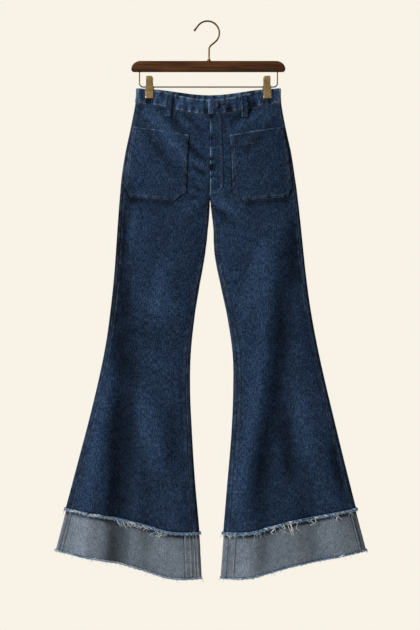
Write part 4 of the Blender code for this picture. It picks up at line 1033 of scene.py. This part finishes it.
# Name, place and lean in mm, and face
LOOP_ROWS = (
    ("belt_loop_front_left", -88.4, 6.0, "front"),
    ("belt_loop_front_right", 85.1, -3.5, "front"),
    ("belt_loop_back_left", -84.4, 2.0, "back"),
    ("belt_loop_back_centre", 6.1, 0.0, "back"),
    ("belt_loop_back_right", 93.6, -2.0, "back"),
)
LOOP_WIDTH, LOOP_HEIGHT, LOOP_WALL = 15 * MM, 44 * MM, 2.0 * MM
LOOP_STAND, LOOP_BOW, LOOP_TOP_LEVEL = 0.5 * MM, 2.6 * MM, 0.10
LOOP_STITCHES, TACK_PLACES = 2.6 * MM, (0.035, 0.10, 0.90, 0.965)
# Pitch, length and radius of a bar tack's stitches
BAR_TACK = (0.75 * MM, 1.3 * MM, 0.36 * MM)


def build_belt_loop(number, name, x_mm, lean_mm, face):
    """A belt loop that bows away from the waistband, with a bar tack at each end."""
    x = x_mm * MM
    leg = "left" if x < CENTRE_SEAM_X else "right"
    down = np.concatenate([[0, 0.012, 0.03], np.linspace(0.06, 0.94, 28), [0.97, 0.988, 1.0]])
    levels = LOOP_TOP_LEVEL + down * LOOP_HEIGHT / LEVEL_HEIGHT_AT_WAIST
    q = waist_q(leg, x + lean_mm * MM * (0.5 - down), levels)
    q = q if face == "front" else 2 - q
    centre, normal = cloth_point(leg, q, levels), cloth_normal(leg, q, levels)
    normal = unit(normal * (1, 1, 0))
    across = np.stack([-normal[:, 1], normal[:, 0], np.zeros(len(down))], axis=1)
    across *= np.sign(across[:, [0]])
    shares = edge_fractions(17) * 2 - 1
    grid = centre[:, None] + across[:, None] * (shares * LOOP_WIDTH / 2)[None, :, None]

    end = np.minimum(down, 1 - down)
    from_edge = (1 - np.abs(shares)) * LOOP_WIDTH / 2
    rubbed = ripple(down[:, None] * LOOP_HEIGHT + shares[None, :] * 4 * MM, 6 * MM, 70 + number)
    low = (WAISTBAND_STANDS + LOOP_STAND + LOOP_BOW * smooth(end, 0.08, 0.30))[:, None]
    ends = 0.6 * MM * (1 - smooth(end, 0.15, 0.19)) - 0.8 * MM * fall(end * LOOP_HEIGHT, 0.8)
    crown = 0.5 * MM * bell(from_edge, 1.8, 2.2) - 0.9 * MM * fall(from_edge, 0.7)
    high = low + LOOP_WALL + crown[None, :] + ends[:, None] + 0.25 * MM * rubbed
    outer, inner = (grid + normal[:, None] * height[..., None] for height in (high, low))
    wear, _ = edge_wear(outer, 1.5, (0.4, 0.5, 0.5, 0.5))
    wear = np.clip(wear * (0.7 + 0.6 * rubbed), 0, 1)
    # Paler down the loop's middle, darker towards both sides, and varied in rubbed patches.
    wash_and_shade = 0.5 * np.exp(-(shares / 0.4) ** 2)[None, :] - 0.35 + 0.4 * rubbed
    obj = cloth_wall(name + "_cloth", outer, inner, wear, ["denim"], [name], wash_and_shade=wash_and_shade)

    threads = Threads(300 + number)
    normals = np.broadcast_to(normal[:, None], outer.shape)
    for from_last in (False, True):
        threads.stitches(*line_in_grid(outer, normals, LOOP_STITCHES, from_last, (2, len(down) - 2)))
    for row in np.searchsorted(down, TACK_PLACES):
        threads.stitches(outer[row, 2:-2], normals[row, 2:-2], *BAR_TACK)
    declare_cloth(obj, threads)


# Hem bands and frayed edges

BAND_WALL, BAND_INSET = 1.5 * MM, PANEL_WALL + SEAM_GAP
BAND_TOP_LEVEL, BAND_END_LEVEL = 13.88, 14.93
SIDE_BAND_FELL, INNER_BAND_FELL = 3.5 * MM, {"left": 21 * MM, "right": 14 * MM}
WIDE_FELL = 20 * MM
BAND_ROWS, BAND_COLUMNS, BAND_MIDDLE_COLUMN = 36, {"front": 150, "back": 130}, 50
BAND_FREE_LEVELS, BAND_STITCH_LEVEL = (14.0, 14.06), 14.02
BAND_STITCHES, FELL_STITCHES = 2.0 * MM, 2.4 * MM


def build_band(leg, face):
    """A length of reversed denim under the raw edge, with its seam allowances felled beside its seams."""
    levels, columns = np.linspace(BAND_TOP_LEVEL, BAND_END_LEVEL, BAND_ROWS), BAND_COLUMNS[face]
    q = (front_grid(leg, levels, edge_fractions(columns)) if face == "front"
         else back_grid(leg, levels, columns))
    flat, _ = lay(leg, q, levels, -BAND_INSET)
    down = run_along(flat[:, BAND_MIDDLE_COLUMN])[:, None]
    free = smooth(levels, *BAND_FREE_LEVELS)[:, None]
    fells = list(zip(seam_distances(flat, face), (INNER_BAND_FELL[leg], SIDE_BAND_FELL)))
    lift, wear, seams = np.zeros((3, *q.shape))
    for number, (edge, reach) in enumerate(fells):
        past = edge - reach
        lift += 0.75 * MM * (1 - smooth(past, -0.9 * MM, 0.2 * MM)) * free
        lift += 0.4 * MM * ripple(down, 8 * MM, 80 + number) * bell(past, 4) * free
        wear += 0.8 * bell(past, 1.5, -1.2) + 0.40 * bell(edge, 1.8)
        # Dark lines of painted shade beside the fells' edges.
        seams += bell(past, 1.3, 1.6)
        if reach > WIDE_FELL:
            wear += 0.9 * bell(edge, 1.7, 8) + 0.5 * bell(edge, 1.7, 1.5)
            seams += 0.7 * bell(edge, 1.3, 5)
    lift += 0.8 * MM * ripple(row_lengths(flat) + down * 0.15, 26 * MM, 90) * free
    outer, normals = lay(leg, q, levels, lift - BAND_INSET)
    inner = flat - normals * BAND_WALL
    wear = wear * (0.7 + 0.3 * ripple(down, 7 * MM, 88))
    # A painted shadow just under the raw edge's roll, and painted shade along the fells' edges and in the folds'
    # troughs.
    shadow_under_roll = np.exp(-((levels - RAW_EDGE_LEVEL - 0.02) / 0.055) ** 2)[:, None]
    wash_and_shade = 0.9 * wash_and_shade_of(leg, q, levels) - 0.05 - 1.6 * shadow_under_roll - 1.3 * seams * free
    name = f"hem_band_{face}_{leg}"
    obj = cloth_wall(name + "_cloth", outer, inner, wear, ["denim_reverse", "denim"], [name], wash_and_shade=wash_and_shade)
    threads = Threads(400 + len(name))
    start = int(np.searchsorted(levels, BAND_STITCH_LEVEL))
    for (_, reach), from_last in zip(fells, (face == "back", face == "front")):
        for distance in (BAND_STITCHES, reach - FELL_STITCHES):
            threads.stitches(*line_in_grid(outer, normals, distance, from_last, (start, len(levels))))
    declare_cloth(obj, threads, slot="denim_reverse")


# Bunches of long threads on the raw edges: x0_mm, x1_mm, threads, length_mm, lean, curl, tone
BUNCH_ROWS = {
    "left": (
        (-217, -177, 9, 21, 0.55, 0.25, 0.75), (-180, -131, 16, 12, 0.2, 1.3, 0.95),
        (-126, -91, 10, 15, 0.0, 0.9, 0.90), (-315, -300, 4, 8, -0.3, 0.6, 0.70),
        (-60, -40, 4, 9, 0.2, 0.6, 0.70),
    ),
    "right": (
        (37, 57, 10, 12, 0.1, 1.3, 0.90), (59, 78, 6, 15, -0.2, 0.7, 0.80), (108, 117, 4, 15, 0.3, 0.6, 0.80),
        (147, 159, 5, 17, -0.2, 0.6, 0.85), (161, 176, 4, 19, 0.6, 0.5, 0.90),
        (180, 204, 5, 34, 0.35, 0.35, 0.95), (224, 233, 4, 15, 0.2, 0.6, 0.80),
        (240, 256, 6, 17, -0.3, 0.7, 0.85), (280, 300, 6, 17, 0.2, 0.7, 0.85),
        (319, 328, 4, 13, 0.3, 0.6, 0.80),
    ),
}
FRAY_KINDS = {
    "raw_edge_fray": dict(
        levels=(13.9475, 14.0), inset=0.0, roll_radius=2.6 * MM, pale=0.0, seed=500, bunches=BUNCH_ROWS,
        per_mm=1.35, lengths=(2 * MM, 6 * MM), long_share=0.03, long_lengths=(8 * MM, 16 * MM)),
    "hem_fray": dict(
        levels=(14.9335, 15.0), inset=BAND_INSET, roll_radius=1.7 * MM, pale=0.2, seed=600, bunches={},
        per_mm=1.05, lengths=(1.2 * MM, 4.0 * MM), long_share=0.04, long_lengths=(5 * MM, 12 * MM)),
}
FRAY_COLUMNS, FRAY_STRANDS, SHORTEST_STRAND = 420, 9, 5
STRAND_STEP, STRAND_BREAK = 2.2 * MM, -0.55
WHITE_SHARE, WHITE_TONE, BLUE_TONE, TONE_SPREAD = 0.22, 0.90, 0.36, 0.12


def build_fray(kind, leg, seed_step):
    """A frayed strip round the edge: a soft cord of cross threads, a dense fringe and a few long threads."""
    fray = FRAY_KINDS[kind]
    name, seed = f"{kind}_{leg}", fray["seed"] + seed_step
    radius, per_mm = fray["roll_radius"], fray["per_mm"]
    steps = np.linspace(*fray["levels"], 5)
    q = np.array([shared_out(leg, level, 0.0, 2.0, FRAY_COLUMNS + 1, 0.05)[:-1] for level in steps])
    outer, normals = lay(leg, q, steps, -fray["inset"])
    closed_top, closed, closed_normals = (
        np.concatenate([ring, ring[:1]]) for ring in (outer[0], outer[-1], normals[-1]))
    along = run_along(closed)
    total = along[-1]
    threads = Threads(seed)
    draw = threads.draw

    def place(table, s):
        return np.array([np.interp(s % total, along, table[:, k]) for k in range(3)])

    def thread_from(s, length, thickness, curl, tone, lean=0.0, sides=3, steps=6):
        low, normal = place(closed, s), place(closed_normals, s)
        down = unit(low - place(closed_top, s))
        root = low - down * draw.uniform(0.2, 2.2) * radius + normal * draw.uniform(0.2, 1.1) * radius
        out = normal * draw.uniform(0.4, 1.1)
        across = np.cross(normal, down)
        threads.loose(root, down, across, out, length, thickness, curl, tone, sides, lean, steps)

    middle = outer[-1] - unit(outer[-1] - outer[0]) * radius + normals[-1] * radius * 0.35
    threads.roll(middle, normals[-1], radius, seed + 40, fray["pale"])

    front = q[-1] <= 1
    for x0, x1, count, length_mm, lean, curl, tone in fray["bunches"].get(leg, ()):
        for side in (front, ~front):
            order = np.argsort(outer[-1][side, 0])
            for _ in range(count):
                x = draw.uniform(x0, x1) * MM
                s = np.interp(x, outer[-1][side, 0][order], along[:-1][side][order])
                length = length_mm * MM * draw.uniform(0.45, 1.15)
                shade = np.clip(draw.normal(tone, 0.14), 0, 1)
                thread_from(s, length, draw.uniform(0.42, 0.72) * MM, curl, shade, lean, 4, 10)

    fringe = int(total / MM * per_mm)
    clump = ripple(np.arange(fringe) / per_mm * MM, 9 * MM, seed)
    for k in range(fringe):
        s = (k + draw.uniform(-0.4, 0.4)) / per_mm * MM
        long = draw.random() < fray["long_share"] * (1.2 + clump[k])
        length = draw.uniform(*fray["long_lengths" if long else "lengths"]) * (1 + 0.35 * clump[k])
        middle_tone = WHITE_TONE if draw.random() < WHITE_SHARE else BLUE_TONE
        tone = np.clip(fray["pale"] + draw.normal(middle_tone, TONE_SPREAD), 0, 1)
        thread_from(s, length, draw.uniform(0.22, 0.42) * MM, draw.uniform(0.3, 1.3), tone)

    for strand in range(FRAY_STRANDS):
        height = draw.uniform(-0.2, 2.2) * radius
        phase, swing = draw.uniform(0, 40), draw.uniform(0.3, 0.8) * radius
        s_values = np.arange(0, total, STRAND_STEP)
        line = []
        for s, kept in zip(s_values, ripple(s_values, 60 * MM, seed + strand) > STRAND_BREAK):
            if not kept:
                if len(line) > SHORTEST_STRAND:
                    tone = np.clip(draw.normal(0.46, 0.22), 0, 1)
                    threads.tube(line, np.full(len(line), 0.34 * MM), (0, 0, 1), 3, tone)
                line = []
                continue
            low, high, normal = place(closed, s), place(closed_top, s), place(closed_normals, s)
            wobble = math.sin(s / MM * 0.55 + phase) + 0.6 * math.sin(s / MM * 1.3 + 2 * phase)
            spot = low - unit(low - high) * (height + wobble * swing)
            line.append(spot + normal * radius * (1.25 + 0.2 * math.sin(s / MM * 0.8 + phase)))
        if len(line) > SHORTEST_STRAND:
            tone = np.clip(draw.normal(0.5, 0.2), 0, 1)
            threads.tube(line, np.full(len(line), 0.30 * MM), (0, 0, 1), 3, tone)
    fringe_piece = threads.made(name + "_threads", "fray", "fray")
    wear = np.linspace(0.55, 1.0, 5)[:, None]
    inner = outer - normals * PANEL_WALL
    strip = cloth_wall(name + "_strip", outer, inner, wear, ["denim"], [name], ring=True)
    return strip, fringe_piece


# Button and buttonhole

BUTTON_X, BUTTON_LEVEL = 17.1 * MM, 0.47
BUTTON_RADIUS, BUTTON_THICKNESS, BUTTON_SIDES = 8.5 * MM, 3.2 * MM, 48
# Shares of the radius and of the thickness, from the middle of the back to the middle of the front
BUTTON_PROFILE = (
    (0.02, 0.0), (0.33, 0.0), (0.35, 0.1), (0.35, 0.35), (0.84, 0.38), (0.96, 0.46), (1.0, 0.60),
    (0.985, 0.78), (0.93, 0.93), (0.86, 1.0), (0.79, 0.97), (0.73, 0.86), (0.66, 0.78), (0.4, 0.76),
    (0.02, 0.77),
)
# Tone of the painted highlight along the button's front rim.
RIM_HIGHLIGHT_TONE = 0.55
BUTTONHOLE_FROM, BUTTONHOLE_TO, BUTTONHOLE_PITCH = 4 * MM, 23 * MM, 0.62 * MM
BUTTONHOLE_REACH = 1.9 * MM


def tidy_mesh(name, points, faces, sharp_degrees=40):
    """A mesh with faces turned outwards, smooth except across sharp edges."""
    mesh = bpy.data.meshes.new(name)
    mesh.from_pydata([tuple(p) for p in points], [], [tuple(f) for f in faces])
    body = bmesh.new()
    body.from_mesh(mesh)
    bmesh.ops.recalc_face_normals(body, faces=body.faces)
    if body.calc_volume(signed=True) < 0:
        bmesh.ops.reverse_faces(body, faces=body.faces)
    body.to_mesh(mesh)
    body.free()
    mesh.polygons.foreach_set("use_smooth", np.ones(len(mesh.polygons), bool))
    mesh.set_sharp_from_angle(angle=math.radians(sharp_degrees))
    return mesh


def circle(sides):
    """The cosine and sine of each side's angle."""
    return [(math.cos(a), math.sin(a)) for a in np.arange(sides) * 2 * math.pi / sides]


def build_button():
    x, y, z = cloth_point("right", waist_q("right", BUTTON_X, BUTTON_LEVEL), BUTTON_LEVEL)
    y = y - WAISTBAND_STANDS - SEAM_GAP
    points = [(x + r * BUTTON_RADIUS * c, y - h * BUTTON_THICKNESS, z + r * BUTTON_RADIUS * s)
              for r, h in BUTTON_PROFILE for c, s in circle(BUTTON_SIDES)]
    mesh = tidy_mesh("button_detailed", points, tube_faces(len(BUTTON_PROFILE), BUTTON_SIDES))
    # A painted highlight on the crest of the front rim.
    rim_highlight = [RIM_HIGHLIGHT_TONE if 0.85 < r < 0.99 and h > 0.7 else 0.0 for r, h in BUTTON_PROFILE]
    set_point_values(mesh, "tone", "FLOAT", np.repeat(rim_highlight, BUTTON_SIDES))
    add_piece("button_detailed", mesh, ["button"], ["button"])


def build_buttonhole():
    """Close stitches up and down from the slit, beside the button."""
    threads, level = Threads(77), BUTTON_LEVEL + 0.01
    count = int((BUTTONHOLE_TO - BUTTONHOLE_FROM) / BUTTONHOLE_PITCH)
    for x in np.linspace(BUTTON_X + BUTTONHOLE_FROM, BUTTON_X + BUTTONHOLE_TO, count):
        q = waist_q("right", x, level)
        normal = cloth_normal("right", q, level)
        point = cloth_point("right", q, level) + normal * (WAISTBAND_STANDS + 0.15 * MM)
        for side in (-1, 1):
            line = [point + np.array((0, 0, side * a)) * BUTTONHOLE_REACH + normal * b * MM
                    for a, b in ((0.12, 0.0), (0.4, 0.45), (0.75, 0.42), (1.0, 0.0))]
            radii = np.array((0.7, 1, 1, 0.6)) * 0.33 * MM
            threads.tube(line, radii, (1, 0, 0), 5, threads.draw.uniform(0, 1))
    threads.made("buttonhole_thread", "buttonhole", "denim")


# Hanger

BAR_LENGTH, BAR_HEIGHT, BAR_DEPTH = 357 * MM, 24 * MM, 18 * MM
BAR_TOP_Z, BAR_CENTRE_X = -91.5 * MM, 2.0 * MM
BAR_TOP_CORNER, BAR_BOTTOM_CORNER = (22 * MM, 19 * MM), (7 * MM, 5 * MM)
BAR_EDGE, BAR_EASE = 3.5 * MM, 3.4 / 9
HOOK_WIRE, HOOK_RADIUS, HOOK_TIP_BALL = 4.0 * MM, 27.6 * MM, 2.9 * MM
HOOK_TIP = (31.2 * MM, 4.5 * MM)
BEND_RADIUS, BEND_DROP = 13 * MM, 11.2 * MM
STEM_X = 3.6 * MM
FERRULE_RADIUS, FERRULE_HEIGHT = 4.8 * MM, 4.5 * MM
RAIL_WIRE = 3.0 * MM
RAIL_Z, RAIL_CORNER = -151 * MM, 9 * MM
RAIL_LEFT_X, RAIL_RIGHT_X = -157.7 * MM, 162.3 * MM
CLIPS = (("left", -134.9 * MM, 1.4 * MM), ("right", 138.6 * MM, -1.4 * MM))
CLIP_TOP_Z, CLIP_BOTTOM_Z = -126.5 * MM, -177.5 * MM
JAW_WIDTH, LEVER_WIDTH, CLIP_WALL = 18.6 * MM, 14.6 * MM, 1.1 * MM
SPRING_WIRE, SPRING_TURNS, TURN_STEPS = 1.0 * MM, 4, 24
SPRING_RADIUS = (RAIL_WIRE + SPRING_WIRE) / 2 + 0.35 * MM
CLIP_LEVER_Y, CLIP_RAIL_Y = 9.5 * MM, SPRING_RADIUS + SPRING_WIRE / 2 + SEAM_GAP


def add_wire(name, line, radii, sides, finish, replaced, up=(0, 1, 0)):
    """A round wire along a line, with closed ends."""
    points = tube_rings(line, np.broadcast_to(radii, len(line)), up, sides).reshape(-1, 3)
    add_piece(name, tidy_mesh(name, points, tube_faces(len(line), sides), 60), [finish], [replaced])


def arc(centre, radius, start, end, count):
    """Points of an arc in the XZ plane. Angles in degrees, from +X towards +Z."""
    angles = np.radians(np.linspace(start, end, count))
    return [(centre[0] + radius * math.cos(a), 0.0, centre[1] + radius * math.sin(a)) for a in angles]


def smoothed(line, rounds=2):
    """A line with its corners cut, its ends kept."""
    line = np.asarray(line, float)
    for _ in range(rounds):
        cut = np.stack([mix(line[:-1], line[1:], t) for t in (0.25, 0.75)], axis=1).reshape(-1, 3)
        line = np.concatenate([line[:1], cut, line[-1:]])
    return line


def build_hook():
    centre = (0.0, HOOK_WIRE / 2 - HOOK_RADIUS)
    tip = [(centre[0] - HOOK_TIP[0], 0.0, centre[1] + HOOK_TIP[1])]
    bow = arc(centre, HOOK_RADIUS, 152, -42, 30)
    bend = arc((STEM_X + BEND_RADIUS, centre[1] - HOOK_RADIUS - BEND_DROP), BEND_RADIUS, 128, 180, 8)
    line = smoothed(tip + bow + bend + [(STEM_X, 0.0, BAR_TOP_Z + SEAM_GAP)])
    extra = [mix(line[0], line[1], t) for t in (0.2, 0.45, 0.7)]
    line = np.concatenate([line[:1], extra, line[1:]])
    along = run_along(line)
    ball_places = np.array((0, 0.3, 1.0, 2.2, 3.6, 5.0, 6.0)) * MM
    ball = np.interp(along, ball_places, (0.30, 0.62, 0.90, 1.0, 0.92, 0.70, 0))
    radii = np.maximum(np.where(along > 4 * MM, HOOK_WIRE / 2, 0), HOOK_TIP_BALL * ball)
    add_wire("hook_wire", line, radii, 20, "brass", "hook")


def build_collar():
    """The collar where the stem enters the bar, turned with a bead at its foot."""
    bore, sides = HOOK_WIRE / 2 + 0.1 * MM, 32
    profile = (
        (bore, 0), (FERRULE_RADIUS, 0), (FERRULE_RADIUS, 1.3 * MM), (FERRULE_RADIUS * 0.93, 1.7 * MM),
        (FERRULE_RADIUS * 0.80, 1.9 * MM), (FERRULE_RADIUS * 0.80, 3.6 * MM),
        (FERRULE_RADIUS * 0.68, FERRULE_HEIGHT), (bore, FERRULE_HEIGHT),
    )
    points = [(STEM_X + r * c, r * s, BAR_TOP_Z + SEAM_GAP + h) for r, h in profile for c, s in circle(sides)]
    mesh = tidy_mesh("hook_collar_turned", points, ring_faces(len(profile), sides, closed=True))
    add_piece("hook_collar_turned", mesh, ["brass"], ["hook_collar"])


def corner(x, z, radii, start, count):
    """Points of a quarter ellipse in the XZ plane, from an angle, anticlockwise."""
    angles = [math.radians(start + 90 * k / (count - 1)) for k in range(count)]
    return [(x + radii[0] * math.cos(a), z + radii[1] * math.sin(a)) for a in angles]


def build_bar():
    """The wooden bar, with its outline's large upper corners and softly rounded long edges."""
    high, low = BAR_TOP_Z, BAR_TOP_Z - BAR_HEIGHT
    (wide, tall), (foot, rise) = BAR_TOP_CORNER, BAR_BOTTOM_CORNER
    right, left = BAR_CENTRE_X + BAR_LENGTH / 2, BAR_CENTRE_X - BAR_LENGTH / 2
    outline = (
        corner(right - wide, high - tall, BAR_TOP_CORNER, 0, 22)
        + corner(left + wide, high - tall, BAR_TOP_CORNER, 90, 22)
        + corner(left + foot, low + rise, BAR_BOTTOM_CORNER, 180, 10)
        + corner(right - foot, low + rise, BAR_BOTTOM_CORNER, 270, 10)
    )
    middle = np.array((BAR_CENTRE_X, (high + low) / 2))
    rounds = [(-1 + BAR_EASE * (1 - math.cos(a)), 1 - math.sin(a)) for a in np.linspace(0, math.pi / 2, 9)]
    rounds += [(-depth, pull) for depth, pull in rounds[::-1]]
    points = []
    for depth, pull in rounds:
        for x, z in outline:
            toward = np.clip(middle - (x, z), -BAR_EDGE, BAR_EDGE) * pull
            points.append((x + toward[0], depth * BAR_DEPTH / 2, z + toward[1]))
    mesh = tidy_mesh("hanger_bar_turned", points, tube_faces(len(rounds), len(outline)), 50)
    add_piece("hanger_bar_turned", mesh, ["wood"], ["hanger_bar"])


def build_rail():
    top, clear = BAR_TOP_Z - BAR_HEIGHT - SEAM_GAP, 1.3 * RAIL_CORNER
    left, right, corner_z = RAIL_LEFT_X, RAIL_RIGHT_X, RAIL_Z + RAIL_CORNER
    line = [(left, 0.0, z) for z in np.linspace(top, RAIL_Z + clear, 6)]
    line += arc((left + RAIL_CORNER, corner_z), RAIL_CORNER, 180, 270, 14)
    line += [(x, 0.0, RAIL_Z) for x in np.linspace(left + clear, right - clear, 24)]
    line += arc((right - RAIL_CORNER, corner_z), RAIL_CORNER, 270, 360, 14)
    line += [(right, 0.0, z) for z in np.linspace(RAIL_Z + clear, top, 6)]
    add_wire("hanger_rail_wire", line, RAIL_WIRE / 2, 16, "brass", "hanger_rail")


def build_clips():
    """Spring clips of bent plate, each with a rolled lip on its jaw and cut upper corners."""
    jaw_y = PINCHED_DEPTH + WAISTBAND_STANDS + SEAM_GAP + CLIP_WALL
    rail_y = CLIP_RAIL_Y + CLIP_WALL
    # Height, distance from the middle plane and width of the plate, from its top down
    bends = np.array((
        (CLIP_TOP_Z, CLIP_LEVER_Y, LEVER_WIDTH), (CLIP_TOP_Z - 8 * MM, CLIP_LEVER_Y * 0.95, LEVER_WIDTH),
        (RAIL_Z + 6 * MM, rail_y + 1.4 * MM, LEVER_WIDTH), (RAIL_Z, rail_y, JAW_WIDTH),
        (RAIL_Z - 5 * MM, jaw_y + 1.2 * MM, JAW_WIDTH), (CLIP_BOTTOM_Z + 16 * MM, jaw_y, JAW_WIDTH),
        (CLIP_BOTTOM_Z, jaw_y, JAW_WIDTH),
    ))
    z = np.linspace(CLIP_TOP_Z, CLIP_BOTTOM_Z, 52)
    y, half = np.interp(-z, -bends[:, 0], bends[:, 1]), np.interp(-z, -bends[:, 0], bends[:, 2] / 2)
    from_top, from_bottom = CLIP_TOP_Z - z, z - CLIP_BOTTOM_Z
    for distance, radius in ((from_top, 1.6 * MM), (from_bottom, 0.8 * MM)):
        half -= radius * (1 - round_cap(distance, radius))
    shares = edge_fractions(13) * 2 - 1
    edge = 1 - np.abs(shares)
    lip = 0.55 * MM * (1 - smooth(from_bottom, 4.2 * MM, 5.0 * MM))
    outer_y = y[:, None] - 0.28 * MM * np.exp(-edge * 6) + lip[:, None] * (1 - 0.6 * np.exp(-edge * 8))
    inner_y, zs = ((values * np.ones((1, len(shares)))) for values in (y[:, None] - CLIP_WALL, z[:, None]))
    for side, x, back_shift in CLIPS:
        for face, sign, shift in (("front", -1, 0.0), ("back", 1, back_shift)):
            xs = x + shift + shares * half[:, None]
            outer, inner = (np.stack([xs, sign * ys, zs], axis=-1) for ys in (outer_y, inner_y))
            faces = np.concatenate(wall_faces(*outer.shape[:2])).tolist()
            name = f"clip_{face}_plate_{side}"
            points = np.concatenate([outer.reshape(-1, 3), inner.reshape(-1, 3)])
            mesh = tidy_mesh(name + "_bent", points, faces, 35)
            add_piece(name + "_bent", mesh, ["clip_brass"], [name])
        turn = np.arange(SPRING_TURNS * TURN_STEPS + 1) / TURN_STEPS
        angles = 2 * math.pi * turn
        line = np.stack([x + (turn - SPRING_TURNS / 2) * SPRING_WIRE * 1.35,
                         SPRING_RADIUS * np.cos(angles), RAIL_Z + SPRING_RADIUS * np.sin(angles)], axis=1)
        name = f"clip_spring_{side}"
        add_wire(name + "_coil", line, SPRING_WIRE / 2, 8, "brass", name, (1, 0, 0))


for number, leg in enumerate(("left", "right")):
    trims = {"panel": build_fray("raw_edge_fray", leg, number), "band": build_fray("hem_fray", leg, number)}
    for face in ("front", "back"):
        build_panel(leg, face)
        build_band(leg, face)
    build_pocket(leg)
build_fly()
build_waist_length("waistband_front_right", right_waist_rows, 41)
build_waist_length("waistband_front_left", left_waist_rows, 51)
build_waist_length("waistband_back", back_waist_rows, 61)
for number, row in enumerate(LOOP_ROWS):
    build_belt_loop(number, *row)
build_button()
build_buttonhole()
build_hook()
build_collar()
build_bar()
build_rail()
build_clips()


# Stage: a pale floor, a soft light from the upper left, and the photograph's camera

PALE, AMBIENT = (0.94, 0.89, 0.80), 0.20
FLOOR_RADIUS, FLOOR_Z = 1.35, -1.76
LIGHT_TARGET = Vector((0, 0, -0.65))
# Name, place, size in metres and power in watts
LIGHTS = (
    ("key", (-3.4, -2.5, 1.15), 0.82, 246),
    ("fill", (1.8, -2.6, -0.3), 1.8, 9),
    ("back", (0.9, 2.4, 0.7), 1.6, 22),
)
CAMERA_PLACE, CAMERA_LENS, CAMERA_SENSOR = (5.9 * MM, -3.0, -679.8 * MM), 73.9, 36


def add_to_scene(name, data, place):
    obj = bpy.data.objects.new(name, data)
    obj.location = place
    bpy.context.scene.collection.objects.link(obj)
    return obj


def build_world():
    """A pale studio. It looks paler than it shines, so that the key light still models the folds."""
    made = Nodes(bpy.data.worlds.new("studio"))
    seen = made.node("LightPath")["Is Camera Ray"]
    share = made.node("MapRange", {"To Min": AMBIENT, "Value": seen})["Result"]
    bpy.context.scene.world = made.feed(made.tree.nodes["Background"], {"Color": PALE, "Strength": share})


def build_stage():
    mesh = bpy.data.meshes.new("floor")
    body = bmesh.new()
    bmesh.ops.create_circle(body, cap_ends=True, radius=FLOOR_RADIUS, segments=128)
    body.to_mesh(mesh)
    body.free()
    mesh.materials.append(new_material("pale_floor").finish(PALE, 0.8))
    add_to_scene("floor", mesh, (0, 0, FLOOR_Z))
    for name, place, size, power in LIGHTS:
        data = bpy.data.lights.new(name, "AREA")
        data.size, data.energy = size, power
        light = add_to_scene(name, data, place)
        light.rotation_euler = (LIGHT_TARGET - Vector(place)).to_track_quat("-Z", "Y").to_euler()
    data = bpy.data.cameras.new("camera")
    data.sensor_width, data.lens = CAMERA_SENSOR, CAMERA_LENS
    camera = add_to_scene("camera", data, CAMERA_PLACE)
    camera.rotation_euler = (math.pi / 2, 0, 0)
    bpy.context.scene.camera = camera


bpy.context.scene.view_settings.view_transform = "Standard"
build_world()
build_stage()
